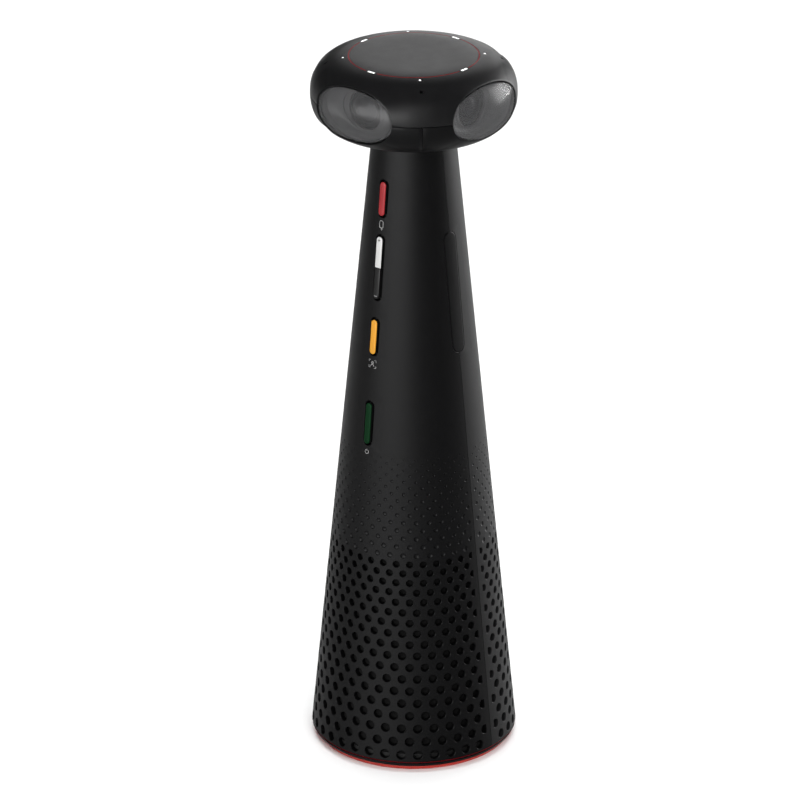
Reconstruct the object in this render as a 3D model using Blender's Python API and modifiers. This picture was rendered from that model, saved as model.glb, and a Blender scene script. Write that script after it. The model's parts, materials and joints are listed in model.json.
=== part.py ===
"""Table conference camera: a mushroom head with four fixed lenses on a conical speaker column.

Metres, +Z up.  The origin is the centre of the foot on the table, and the keys face -Y.
"""

import math

import bmesh
import bpy
from mathutils import Matrix, Vector

# ---------------------------------------------------------------- driving dimensions
GAP = 0.0003                    # clearance between pieces that touch

# Column
COLUMN_FOOT_RADIUS = 0.0457     # cone radius produced down to the table
COLUMN_TAPER = 0.0985           # radius lost per metre of height
COLUMN_BOTTOM = 0.0049
NECK_JOINT = 0.2810             # height of the joint between column and head
COLUMN_WALL = 0.0020
SEAM_FOOT_OFFSET = 0.0002       # the parting plane leans towards the keys
SEAM_LEAN = 0.0078

# Head, from its equator
HEAD_RADIUS = 0.04405
HEAD_EQUATOR = NECK_JOINT + 0.02073
HEAD_RISE = 0.01592             # equator to crown
HEAD_DROP = 0.01736             # equator to underside
HEAD_WALL = 0.0020
HEAD_CROWN_FLAT = 0.0146        # radius of the flat middle of the crown
CROWN_POWERS = (4.0, 2.08)      # across and up
BELLY_POWERS = (3.35, 2.51)
HEAD_SEAM = HEAD_EQUATOR - 0.0007
RIM_ANGLE = 0.04                # the lower outline's first point under the covers' joint
NECK_FILLET = 0.0021
COVER_SPLIT_ANGLE = math.radians(45)

# Windows and lenses; depths are distances from the column's axis
WINDOW_HALF_WIDTH = 0.0206
WINDOW_HALF_HEIGHT = 0.0119
WINDOW_POWER = 2.25
LENS_HEIGHT = HEAD_EQUATOR - 0.0002
GLASS_INSET = 0.0004
GLASS_THICKNESS = 0.0015
LENS_RADIUS = 0.0085
LENS_BARREL_RADIUS = 0.0064
LENS_GLASS_RADIUS = 0.0056
LENS_GLASS_CURVE = 0.0090
LENS_CUP_DEPTH = 0.0022
LENS_FRONT = HEAD_RADIUS - 0.01285
SHROUD_CLEARANCE = 0.001945     # from the glass to the shroud's rim, where the head curves in most
SHROUD_WALL = 0.0010

# Crown trim
TOP_PLATE_THICKNESS = 0.0014
TRIM_RADIUS = 0.0277
TRIM_WIDTH = 0.0004
TRIM_BREAK = 0.0060
LIGHT_BAR = (0.0036, 0.0010)
STATUS_DOT_RADIUS = 0.00055
STATUS_DOT_DISTANCE = TRIM_RADIUS + 0.0024
GUIDE_RING_DROP = 0.0043        # crown to the underside of the light guide
GUIDE_RING_HEIGHT = 0.0008
MIC_SLOT = (0.0014, 0.0016)
MIC_DISTANCE = HEAD_RADIUS - 0.00595

# Keys on the front of the column: the upper and lower end of each slot, below the neck joint
SLOT_WIDTH = 0.0050
KEY_GAP = 0.0010                # slot edge to key cap
KEY_PROUD = 0.0008
RED_KEY = (0.0144, 0.0313)
VOLUME_KEY = (0.0387, 0.0683)
YELLOW_KEY = (0.0758, 0.0931)
GREEN_KEY = (0.1134, 0.1337)
KEY_FLANGE = 0.0007             # how far a key's flange reaches past its slot
KEY_FLANGE_CLEARANCE = 0.00065  # the wall is curved behind the flange
KEY_FLANGE_THICKNESS = 0.0010
KEY_NUB_LENGTH = 0.0016
KEY_TRAVEL = 0.0006
ROCKER_TILT = math.radians(1.5)
ROCKER_CAP_DEPTH = 0.0012       # back of the volume caps, behind the column's surface
ROCKER_PIVOT_DEPTH = 0.0050
ROCKER_NUB_DISTANCE = 0.0090
PIN_RADIUS = 0.00075
PIN_LENGTH = 0.0080
SWITCH_SIZE = 0.0040
SWITCH_HEIGHT = 0.0012
BOARD_THICKNESS = 0.0010
KEY_BOARD_WIDTH = 0.0120

# Side panels over the seam, below the neck joint
PANEL_WIDTH = 0.0070
PANEL_ENDS = (0.0380, 0.0921)

# Base
FOOT_RADIUS = COLUMN_FOOT_RADIUS - 0.0032
FOOT_FLARE = 0.0010
FOOT_RING_BOTTOM = 0.0002       # the pad, not the ring, stands on the table
FOOT_RING_TOP = 0.0021
BASE_RING_TOP = 0.0041
ACCENT_THICKNESS = 0.0002
FOOT_PAD_THICKNESS = 0.0016
RING_BORE = FOOT_RADIUS - 0.0016
BASE_PLATE_TOP = 0.0077
BALLAST_HEIGHT = 0.0060
BALLAST_RADIUS = 0.0340
BASE_SCREWS = 3
BASE_SCREW_CIRCLE = 0.0240
SCREW_RADIUS = 0.0015
SCREW_HEAD_RADIUS = 0.0028
SCREW_HEAD_HEIGHT = 0.0020

# Speaker
DEFLECTOR_RADIUS = 0.0290
DEFLECTOR_TIP = 0.0030
DEFLECTOR_SKIRT = 0.0020
DEFLECTOR_HEIGHT = 0.0200
POST_RADIUS = 0.0016
SPEAKER_FACE = 0.0400
SPEAKER_RADIUS = 0.0300
BASKET_RIM = 0.0025
BASKET_WALL = 0.0012
BASKET_NECK = 0.0120
CONE_RADIUS = 0.0225
CONE_NECK = 0.0080
CONE_DEPTH = 0.0100
CONE_THICKNESS = 0.0006
CONE_TRAVEL = 0.0012
COIL_RADIUS = 0.0050
SURROUND_WIDTH = 0.0030
MAGNET_RADIUS = 0.0160
MAGNET_HEIGHT = 0.0110
BOX_TOP = 0.1120
BOX_WALL = 0.0018
LINER_TOP = 0.1460
LINER_THICKNESS = 0.0005

# Electronics
MAIN_BOARD = (0.0300, 0.0016, 0.0800)
MAIN_BOARD_Y = 0.0030
MAIN_BOARD_BOTTOM = BOX_TOP + 0.0100
SPREADER_THICKNESS = 0.0020
SPREADER_FINS = 5
SPREADER_FIN = (0.0012, 0.0050)
RIBBON = (0.0100, 0.0004)
SLEEVE_WALL = 0.0025
SLEEVE_DROP = 0.0130            # how far the sleeve reaches below the neck joint
HEAD_FLOOR_RADIUS = 0.0240
HEAD_FLOOR_THICKNESS = 0.0020
HEAD_FLOOR_HEIGHT = HEAD_EQUATOR - HEAD_DROP + HEAD_WALL + 0.00083
FRAME_HALF = 0.0145
FRAME_WALL = 0.0018
FRAME_TOP = HEAD_EQUATOR + 0.00977
HEAD_BOARD_RADIUS = 0.0240
HEAD_BOARD_REACH = HEAD_RADIUS - 0.01055    # ends of the arms, just inside the microphone slots
BOARD_ARM_WIDTH = 0.0050
MICROPHONE_CAN = (0.0030, 0.0036, 0.0014)
SENSOR_BOARD = 0.0160

# Connector bay at the back of the foot
BAY_WIDTH = 0.0300
BAY_HEIGHT = 0.0110
BAY_CENTRE = 0.0200
BAY_RECESS = 0.0032             # how far the plate's face lies inside the column's surface
BAY_PLATE_THICKNESS = 0.0016
PORT_SPACING = 0.0130
PORT_SIZE = (0.0094, 0.0036)
SOCKET_SIZE = (0.0089, 0.0072, 0.0032)
SOCKET_WALL = 0.0004
CONNECTOR_BOARD_DEPTH = 0.0085

SIDES = {"front": -90, "right": 0, "back": 90, "left": 180}    # degrees about Z, from +X

# ---------------------------------------------------------------- scene and helpers
for old in list(bpy.data.objects):
    bpy.data.objects.remove(old, do_unlink=True)

parts = bpy.data.collections.new("conference_camera")
cutters = bpy.data.collections.new("cutters")
bpy.context.scene.collection.children.link(parts)
bpy.context.scene.collection.children.link(cutters)

FINISHES = {                    # colour, roughness, metallic
    "black_plastic": ((0.012, 0.012, 0.013), 0.55, 0.0),
    "grey_plastic": ((0.045, 0.045, 0.048), 0.5, 0.0),
    "red_plastic": ((0.42, 0.02, 0.025), 0.4, 0.0),
    "yellow_plastic": ((0.80, 0.34, 0.02), 0.4, 0.0),
    "green_plastic": ((0.004, 0.04, 0.012), 0.4, 0.0),
    "white_plastic": ((0.75, 0.75, 0.75), 0.4, 0.0),
    "smoked_glass": ((0.05, 0.05, 0.055), 0.08, 0.0),
    "lens_glass": ((0.02, 0.02, 0.04), 0.03, 0.0),
    "rubber": ((0.02, 0.02, 0.02), 0.85, 0.0),
    "steel": ((0.50, 0.50, 0.52), 0.35, 1.0),
    "aluminium": ((0.70, 0.70, 0.72), 0.4, 1.0),
    "board": ((0.01, 0.12, 0.05), 0.5, 0.0),
    "cloth": ((0.01, 0.01, 0.01), 0.9, 0.0),
    "paper_cone": ((0.03, 0.03, 0.03), 0.7, 0.0),
}


def column_radius(z):
    return COLUMN_FOOT_RADIUS - COLUMN_TAPER * z


SLOPE = math.atan(COLUMN_TAPER)
NECK_RADIUS = column_radius(NECK_JOINT)
HEAD_TOP = HEAD_EQUATOR + HEAD_RISE
HEAD_UNDERSIDE = HEAD_EQUATOR - HEAD_DROP
PLATE_RADIUS = TRIM_RADIUS - TRIM_WIDTH / 2 - GAP
COVER_MOUTH = TRIM_RADIUS + TRIM_WIDTH / 2 + GAP


def paint(obj, finish):
    colour, roughness, metallic = FINISHES[finish]
    material = bpy.data.materials.new(obj.name + "_" + finish)
    material.use_nodes = True
    shader = material.node_tree.nodes["Principled BSDF"]
    shader.inputs["Base Color"].default_value = (*colour, 1.0)
    shader.inputs["Roughness"].default_value = roughness
    shader.inputs["Metallic"].default_value = metallic
    material.diffuse_color = (*colour, 1.0)
    obj.data.materials.clear()
    obj.data.materials.append(material)


def add(name, mesh, finish=None, parent=None, location=(0, 0, 0)):
    """Link a mesh as a part, or as a hidden cutter when it has no finish."""
    obj = bpy.data.objects.new(name, mesh)
    obj.location = location
    obj.parent = parent
    if finish:
        parts.objects.link(obj)
        paint(obj, finish)
    else:
        cutters.objects.link(obj)
        obj.hide_render = True
        obj.display_type = 'WIRE'
    return obj


def from_bmesh(name, bm):
    mesh = bpy.data.meshes.new(name)
    bm.to_mesh(mesh)
    bm.free()
    return mesh


def turned(name, profile, finish=None, steps=48, closed=True, parent=None, location=(0, 0, 0)):
    """Turn an (r, z) profile about Z; it runs down the outer side and back up the inner."""
    mesh = bpy.data.meshes.new(name)
    count = len(profile)
    edges = [(i, i + 1) for i in range(count - 1)]
    if closed:
        edges.append((count - 1, 0))
    mesh.from_pydata([(r, 0, z) for r, z in profile], edges, [])
    obj = add(name, mesh, finish, parent, location)
    screw = obj.modifiers.new("turn", 'SCREW')
    screw.steps = steps
    screw.render_steps = steps
    screw.use_merge_vertices = True
    screw.merge_threshold = 0.00001
    screw.use_smooth_shade = True
    return obj


def box(name, size, finish=None, location=(0, 0, 0), parent=None, bevel=0.0):
    bm = bmesh.new()
    bmesh.ops.create_cube(bm, size=1.0, matrix=Matrix.Diagonal((*size, 1.0)))
    obj = add(name, from_bmesh(name, bm), finish, parent, location)
    if bevel:
        rounding = obj.modifiers.new("edges", 'BEVEL')
        rounding.width = bevel
        rounding.segments = 1
    return obj


def rod(name, radius, depth, finish=None, location=(0, 0, 0), axis='Z', parent=None, segments=16):
    turn = {'Z': Matrix(), 'X': Matrix.Rotation(math.pi / 2, 4, 'Y'),
            'Y': Matrix.Rotation(math.pi / 2, 4, 'X')}[axis]
    bm = bmesh.new()
    bmesh.ops.create_cone(bm, cap_ends=True, segments=segments, radius1=radius, radius2=radius,
                          depth=depth, matrix=turn)
    return add(name, from_bmesh(name, bm), finish, parent, location)


def slab(name, outline, near, far, finish=None, parent=None, location=(0, 0, 0)):
    """A flat outline of (x, z) points, given depth along Y from near to far."""
    bm = bmesh.new()
    ring = [bm.verts.new((x, near, z)) for x, z in outline]
    face = bm.faces.new(ring)
    grown = bmesh.ops.extrude_face_region(bm, geom=[face])
    moved = [v for v in grown["geom"] if isinstance(v, bmesh.types.BMVert)]
    bmesh.ops.translate(bm, vec=(0, far - near, 0), verts=moved)
    bmesh.ops.recalc_face_normals(bm, faces=bm.faces)
    return add(name, from_bmesh(name, bm), finish, parent, location)


def obround(width, length, centre=0.0, arc=6):
    """A slot outline, round at both ends, lengthways along z."""
    radius = width / 2
    straight = length / 2 - radius
    points = []
    for end, start in ((1, 0.0), (-1, math.pi)):
        for i in range(arc + 1):
            angle = start + math.pi * i / arc
            points.append((radius * math.cos(angle), centre + end * straight + radius * math.sin(angle)))
    return points


def superellipse(half_width, half_height, centre, points=48):
    outline = []
    for i in range(points):
        angle = 2 * math.pi * (i + 0.5) / points
        c = math.cos(angle)
        s = math.sin(angle)
        x = half_width * math.copysign(abs(c) ** (2 / WINDOW_POWER), c)
        z = half_height * math.copysign(abs(s) ** (2 / WINDOW_POWER), s)
        outline.append((x, centre + z))
    return outline


def boolean(obj, other, operation):
    step = obj.modifiers.new(operation.lower() + "_" + other.name, 'BOOLEAN')
    step.operation = operation
    step.object = other
    step.solver = 'EXACT'
    return obj


def cut(obj, *others):
    for other in others:
        boolean(obj, other, 'DIFFERENCE')


def fuse(obj, *others):
    for other in others:
        boolean(obj, other, 'UNION')


def empty(name, location, rotation=(0, 0, 0), parent=None):
    obj = bpy.data.objects.new(name, None)
    obj.location = location
    obj.rotation_euler = rotation
    obj.parent = parent
    obj.hide_render = True
    cutters.objects.link(obj)
    return obj


# ---------------------------------------------------------------- head outline
def crown(angle, inset=0.0):
    """A point of the head's upper outline, from the equator at 0 to the top at 90 degrees."""
    across, up = CROWN_POWERS
    r = HEAD_CROWN_FLAT + (HEAD_RADIUS - inset - HEAD_CROWN_FLAT) * math.cos(angle) ** (2 / across)
    z = HEAD_EQUATOR + (HEAD_RISE - inset) * math.sin(angle) ** (2 / up)
    return r, z


def belly(angle, inset=0.0):
    """A point of the head's lower outline, from the equator at 0 to the underside at 90 degrees."""
    across, down = BELLY_POWERS
    r = HEAD_CROWN_FLAT + (HEAD_RADIUS - inset - HEAD_CROWN_FLAT) * math.cos(angle) ** (2 / across)
    z = HEAD_EQUATOR - (HEAD_DROP - inset) * math.sin(angle) ** (2 / down)
    return r, z


def crown_angle(radius, inset=0.0):
    """The angle at which crown() passes a radius; its flat middle lies at 90 degrees."""
    share = (radius - HEAD_CROWN_FLAT) / (HEAD_RADIUS - inset - HEAD_CROWN_FLAT)
    return math.acos(max(share, 0.0) ** (CROWN_POWERS[0] / 2))


def belly_angle(radius, inset=0.0):
    share = (radius - HEAD_CROWN_FLAT) / (HEAD_RADIUS - inset - HEAD_CROWN_FLAT)
    return math.acos(max(share, 0.0) ** (BELLY_POWERS[0] / 2))


def sweep(outline, start, end, count, inset=0.0):
    """Points of an outline, closer together near the equator, where its angle moves fastest."""
    low = math.sqrt(start)
    high = math.sqrt(end)
    return [outline((low + (high - low) * i / count) ** 2, inset) for i in range(count + 1)]




def window_prism(name, inset, side):
    """The window's outline, pushed out through the head on one side."""
    outline = superellipse(WINDOW_HALF_WIDTH - inset, WINDOW_HALF_HEIGHT - inset, LENS_HEIGHT)
    prism = slab(name, outline, 0.5 * HEAD_RADIUS, 1.4 * HEAD_RADIUS)
    prism.rotation_euler.z = math.radians(SIDES[side] - 90)
    return prism


openings = [window_prism("window_opening_" + side, 0.0, side) for side in SIDES]


# ---------------------------------------------------------------- head covers
def make_top_cover():
    rim = HEAD_SEAM + GAP / 2
    outer = sweep(crown, crown_angle(COVER_MOUTH), 0.0, 9)
    inner = sweep(crown, 0.0, crown_angle(COVER_MOUTH, HEAD_WALL), 6, HEAD_WALL)
    profile = outer + [(HEAD_RADIUS, rim), (HEAD_RADIUS - HEAD_WALL, rim)] + inner
    cover = turned("top_cover", profile, "black_plastic")
    cut(cover, *openings)
    for i in range(4):
        angle = math.radians(45 + 90 * i)
        direction = Vector((math.cos(angle), math.sin(angle), 0))
        mic = box(f"mic_hole_{i}", (MIC_SLOT[1], MIC_SLOT[0], 0.012))
        mic.location = direction * MIC_DISTANCE + Vector((0, 0, HEAD_TOP - 0.005))
        mic.rotation_euler.z = angle
        dot = rod(f"dot_hole_{i}", STATUS_DOT_RADIUS + GAP, 0.008, segments=8)
        dot.location = direction * STATUS_DOT_DISTANCE + Vector((0, 0, HEAD_TOP))
        cut(cover, mic, dot)
    for i in range(4):
        angle = math.radians(90 * i)
        notch = box(f"light_notch_{i}", (LIGHT_BAR[1] + 2 * GAP, LIGHT_BAR[0] + 2 * GAP, 0.008))
        notch.location = (TRIM_RADIUS * math.cos(angle), TRIM_RADIUS * math.sin(angle), HEAD_TOP)
        notch.rotation_euler.z = angle
        cut(cover, notch)


def make_lower_covers():
    rim = HEAD_SEAM - GAP / 2
    foot = NECK_JOINT + GAP / 2
    fillet_outer = NECK_RADIUS + NECK_FILLET
    meeting = belly(belly_angle(fillet_outer))
    outer = [(HEAD_RADIUS, rim)] + sweep(belly, RIM_ANGLE, belly_angle(fillet_outer), 8)
    outer[-1] = (fillet_outer, meeting[1])      # also where the neck stands inside the flat
    for i in range(1, 3):
        angle = math.pi / 2 * i / 3
        outer.append((fillet_outer - NECK_FILLET * math.sin(angle),
                      meeting[1] - NECK_FILLET * (1 - math.cos(angle))))
    outer.append((NECK_RADIUS, meeting[1] - NECK_FILLET))
    outer.append((NECK_RADIUS, foot))
    bore = NECK_RADIUS - HEAD_WALL
    inner = [(bore, foot)]
    if bore < HEAD_CROWN_FLAT:                  # the underside's level middle reaches to the neck
        inner.append((bore, belly(math.pi / 2, HEAD_WALL)[1]))
    inner += sweep(belly, belly_angle(bore, HEAD_WALL), RIM_ANGLE, 5, HEAD_WALL)
    inner.append((HEAD_RADIUS - HEAD_WALL, rim))
    for name, turn in (("lower_cover_front", 0.0), ("lower_cover_back", math.pi)):
        cover = turned(name, outer + inner, "black_plastic")
        half = box(name + "_half", (0.2, 0.1, 0.2))
        # the front half lies below the diagonal through the split angle
        angle = COVER_SPLIT_ANGLE - math.pi / 2 + turn
        normal = Vector((math.cos(angle + math.pi / 2), math.sin(angle + math.pi / 2), 0))
        half.location = normal * (0.05 - GAP / 2) + Vector((0, 0, HEAD_UNDERSIDE))
        half.rotation_euler.z = angle
        cut(cover, half, *openings)


def make_top_plate():
    profile = sweep(crown, math.pi / 2, crown_angle(PLATE_RADIUS), 3)
    profile = [(0.0, HEAD_TOP)] + profile
    bottom = HEAD_TOP - TOP_PLATE_THICKNESS
    profile += [(PLATE_RADIUS, bottom), (0.0, bottom)]
    plate = turned("top_plate", profile, "grey_plastic", closed=False)
    for i in range(4):
        cut(plate, bpy.data.objects[f"light_notch_{i}"])


def make_trim_ring():
    """A red ring whose lip shows round the top plate, in one piece under the light bars."""
    outer = TRIM_RADIUS + TRIM_WIDTH / 2
    inner = TRIM_RADIUS - TRIM_WIDTH / 2
    top = crown(crown_angle(TRIM_RADIUS))[1]
    shelf = HEAD_TOP - TOP_PLATE_THICKNESS - GAP
    base = shelf - 0.0006
    profile = [(inner, top), (outer, top), (outer, base), (inner - 0.0015, base),
               (inner - 0.0015, shelf), (inner, shelf)]
    ring = turned("trim_ring", profile, "red_plastic")
    for i in range(4):
        angle = math.radians(90 * i)
        gap = box(f"trim_break_{i}", (0.004, TRIM_BREAK, 0.008))
        gap.location = (TRIM_RADIUS * math.cos(angle), TRIM_RADIUS * math.sin(angle), shelf + 0.004)
        gap.rotation_euler.z = angle
        through = box(f"trim_passage_{i}", (0.0016, LIGHT_BAR[0] + 2 * GAP, 0.008))
        through.location = (TRIM_RADIUS * math.cos(angle), TRIM_RADIUS * math.sin(angle), base)
        through.rotation_euler.z = angle
        cut(ring, gap, through)


def make_light_guide():
    """One clear moulding: a ring on the head board that carries the bars and the dots."""
    base = HEAD_TOP - GUIDE_RING_DROP
    inner = TRIM_RADIUS - 0.0012
    outer = STATUS_DOT_DISTANCE + 0.0010
    top = base + GUIDE_RING_HEIGHT
    profile = [(outer, top), (outer, base), (inner, base), (inner, top)]
    guide = turned("light_guide", profile, "white_plastic")
    foot = base + GUIDE_RING_HEIGHT / 2
    for i in range(4):
        angle = math.radians(90 * i)
        top = crown(crown_angle(TRIM_RADIUS))[1]
        bar = box(f"light_bar_{i}", (LIGHT_BAR[1], LIGHT_BAR[0], top - foot))
        bar.location = (TRIM_RADIUS * math.cos(angle), TRIM_RADIUS * math.sin(angle), (top + foot) / 2)
        bar.rotation_euler.z = angle
        angle += math.radians(45)
        top = crown(crown_angle(STATUS_DOT_DISTANCE))[1]
        dot = rod(f"status_dot_{i}", STATUS_DOT_RADIUS, top - foot, segments=8)
        dot.location = (STATUS_DOT_DISTANCE * math.cos(angle), STATUS_DOT_DISTANCE * math.sin(angle),
                        (top + foot) / 2)
        fuse(guide, bar, dot)


# ---------------------------------------------------------------- windows and lenses
def make_window(side):
    """Smoked glass that follows the head, just inside its surface."""
    back = GLASS_INSET + GLASS_THICKNESS
    outer = sweep(crown, 1.2, 0.0, 6, GLASS_INSET) + sweep(belly, RIM_ANGLE, 1.2, 6, GLASS_INSET)
    inner = sweep(belly, 1.2, RIM_ANGLE, 4, back) + sweep(crown, 0.0, 1.2, 4, back)
    glass = turned("camera_window_" + side, outer + inner, "smoked_glass")
    boolean(glass, window_prism("window_outline_" + side, GAP, side), 'INTERSECT')


def glass_depth(x, z):
    """Distance from the column's axis to the back of the window, across x and at a height z."""
    inset = GLASS_INSET + GLASS_THICKNESS
    if z > HEAD_EQUATOR:
        outline, power, reach = crown, CROWN_POWERS[1], HEAD_RISE - inset
    else:
        outline, power, reach = belly, BELLY_POWERS[1], HEAD_DROP - inset
    radius = outline(math.asin((abs(z - HEAD_EQUATOR) / reach) ** (power / 2)), inset)[0]
    return math.sqrt(radius ** 2 - x ** 2)


def make_shroud(side):
    """A dish lofted from the window's outline down to the round throat of the lens."""
    count = 24
    throat = LENS_RADIUS + GAP
    inset = 0.0009
    rim = superellipse(WINDOW_HALF_WIDTH - inset, WINDOW_HALF_HEIGHT - inset, 0.0, count)
    mouth = superellipse(WINDOW_HALF_WIDTH - inset - SHROUD_WALL,
                         WINDOW_HALF_HEIGHT - inset - SHROUD_WALL, 0.0, count)
    angles = [2 * math.pi * (i + 0.5) / count for i in range(count)]
    circle = [(math.cos(angle), math.sin(angle)) for angle in angles]
    front = min(glass_depth(x, LENS_HEIGHT + z) for x, z in rim) - SHROUD_CLEARANCE
    back = LENS_FRONT
    rings = [(rim, front), (mouth, front), ([(x * throat, z * throat) for x, z in circle], back),
             ([(x * throat, z * throat) for x, z in circle], back - SHROUD_WALL),
             ([(x * (throat + SHROUD_WALL), z * (throat + SHROUD_WALL)) for x, z in circle],
              back - SHROUD_WALL),
             (rim, front - SHROUD_WALL)]
    bm = bmesh.new()
    loops = [[bm.verts.new((x, depth, LENS_HEIGHT + z)) for x, z in ring] for ring, depth in rings]
    for k, loop in enumerate(loops):
        following = loops[(k + 1) % len(loops)]
        for i in range(count):
            j = (i + 1) % count
            bm.faces.new((loop[i], loop[j], following[j], following[i]))
    bmesh.ops.recalc_face_normals(bm, faces=bm.faces)
    shroud = add("lens_shroud_" + side, from_bmesh("lens_shroud_" + side, bm), "grey_plastic")
    shroud.rotation_euler.z = math.radians(SIDES[side] - 90)


def point_outwards(obj, side):
    """Turn a piece made along +Z so that it points outwards, on the lens axis."""
    obj.location = (0, 0, LENS_HEIGHT)
    obj.rotation_euler = (0, math.pi / 2, math.radians(SIDES[side]))


def make_lens(side):
    board_front = FRAME_HALF + GAP + BOARD_THICKNESS
    seat = LENS_FRONT - LENS_CUP_DEPTH
    profile = [(LENS_GLASS_RADIUS + GAP, LENS_FRONT), (LENS_RADIUS, LENS_FRONT - 0.0004),
               (LENS_RADIUS, LENS_FRONT - 0.0060), (LENS_BARREL_RADIUS, LENS_FRONT - 0.0064),
               (LENS_BARREL_RADIUS, board_front - 0.0005), (0.0, board_front - 0.0005)]
    profile = [(0.0, seat), (LENS_GLASS_RADIUS + GAP, seat)] + profile
    module = turned("lens_module_" + side, profile, "black_plastic", steps=20, closed=False)
    point_outwards(module, side)
    board = box("sensor_board_" + side, (SENSOR_BOARD, SENSOR_BOARD, BOARD_THICKNESS))
    board.location = (0, 0, board_front - BOARD_THICKNESS / 2)
    board.parent = module
    fuse(module, board)

    rim = LENS_FRONT - 0.0016
    centre = rim - math.sqrt(LENS_GLASS_CURVE ** 2 - LENS_GLASS_RADIUS ** 2)
    steps = 3
    profile = []
    for i in range(steps + 1):
        r = LENS_GLASS_RADIUS * i / steps
        profile.append((r, centre + math.sqrt(LENS_GLASS_CURVE ** 2 - r ** 2)))
    profile += [(LENS_GLASS_RADIUS, seat + GAP), (0.0, seat + GAP)]
    glass = turned("lens_glass_" + side, profile, "lens_glass", steps=16, closed=False)
    point_outwards(glass, side)


def make_head_frame():
    outer = NECK_RADIUS - COLUMN_WALL - 2 * GAP
    bore = outer - SLEEVE_WALL
    bottom = NECK_JOINT - SLEEVE_DROP
    floor_top = HEAD_FLOOR_HEIGHT + HEAD_FLOOR_THICKNESS
    profile = [(HEAD_FLOOR_RADIUS, floor_top), (HEAD_FLOOR_RADIUS, HEAD_FLOOR_HEIGHT),
               (outer, HEAD_FLOOR_HEIGHT), (outer, bottom), (bore, bottom), (bore, floor_top)]
    turned("neck_sleeve", profile, "grey_plastic", steps=32)

    foot = floor_top + GAP
    height = FRAME_TOP - foot
    frame = box("lens_frame", (2 * FRAME_HALF, 2 * FRAME_HALF, height), "aluminium",
                location=(0, 0, foot + height / 2))
    well = 2 * (FRAME_HALF - FRAME_WALL)
    cut(frame, box("frame_well", (well, well, 2 * height), location=(0, 0, foot + height / 2)))

    base = FRAME_TOP + GAP
    board = rod("head_board", HEAD_BOARD_RADIUS, BOARD_THICKNESS, "board",
                location=(0, 0, base + BOARD_THICKNESS / 2), segments=32)
    reach = HEAD_BOARD_REACH
    for i in range(2):
        arm = box(f"board_arm_{i}", (2 * reach, BOARD_ARM_WIDTH, BOARD_THICKNESS), parent=board)
        arm.rotation_euler.z = math.radians(45 + 90 * i)
        fuse(board, arm)
    for i in range(4):          # microphone cans hang below the arms' ends
        angle = math.radians(45 + 90 * i)
        can = box(f"microphone_{i}", MICROPHONE_CAN, parent=board)
        centre = reach - 0.0025
        can.location = (centre * math.cos(angle), centre * math.sin(angle), -MICROPHONE_CAN[2] / 2)
        can.rotation_euler.z = angle
        fuse(board, can)
    slot = box("ribbon_slot", (RIBBON[0] + 0.0010, 0.0016, 0.01), location=(0, 0.0046, 0), parent=board)
    cut(board, slot)


# ---------------------------------------------------------------- column
def column_wall(name, outside, inside, bottom, top, finish=None, steps=64):
    """A conical wall; outside and inside are measured inwards from the column's surface."""
    profile = [(column_radius(top) - outside, top), (column_radius(bottom) - outside, bottom),
               (column_radius(bottom) - inside, bottom), (column_radius(top) - inside, top)]
    return turned(name, profile, finish, steps=steps)


def seam_half(name, side):
    """A block on one side of the leaning parting plane: -1 towards the keys, +1 behind."""
    height = 0.4
    block = box(name, (0.2, 0.1, height))
    middle = -(SEAM_FOOT_OFFSET + SEAM_LEAN * height / 2)
    block.location = (0, middle + side * (0.05 - GAP / 2), height / 2)
    block.rotation_euler.x = math.atan(SEAM_LEAN)
    return block


def panel_prism(name, grow):
    """An obround through the column along X, on the parting plane."""
    upper, lower = PANEL_ENDS
    centre = NECK_JOINT - (lower + upper) / 2
    outline = obround(PANEL_WIDTH + 2 * grow, lower - upper + 2 * grow)
    reach = 1.5 * COLUMN_FOOT_RADIUS
    prism = slab(name, outline, -reach, reach)
    prism.location = (0, -(SEAM_FOOT_OFFSET + SEAM_LEAN * centre), centre)
    prism.rotation_euler = (math.atan(SEAM_LEAN), 0, math.pi / 2)
    return prism


# keys are placed down the sloping front face from the neck joint, with -Y outwards
key_face = empty("key_face", (0, -NECK_RADIUS, NECK_JOINT), (-SLOPE, 0, 0))
KEY_NUB_END = COLUMN_WALL + KEY_FLANGE_CLEARANCE + KEY_FLANGE_THICKNESS + KEY_NUB_LENGTH
KEY_BOARD_DEPTH = KEY_NUB_END + KEY_TRAVEL + GAP + SWITCH_HEIGHT


def middle_of(ends):
    return -sum(ends) / 2 / math.cos(SLOPE)


def length_of(ends):
    return (ends[1] - ends[0]) / math.cos(SLOPE)


def slot_outline(ends, shrink=0.0):
    return obround(SLOT_WIDTH - 2 * shrink, length_of(ends) - 2 * shrink, middle_of(ends))


KEYS = {"red_key": (RED_KEY, "red_plastic"), "yellow_key": (YELLOW_KEY, "yellow_plastic"),
        "green_key": (GREEN_KEY, "green_plastic")}


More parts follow.
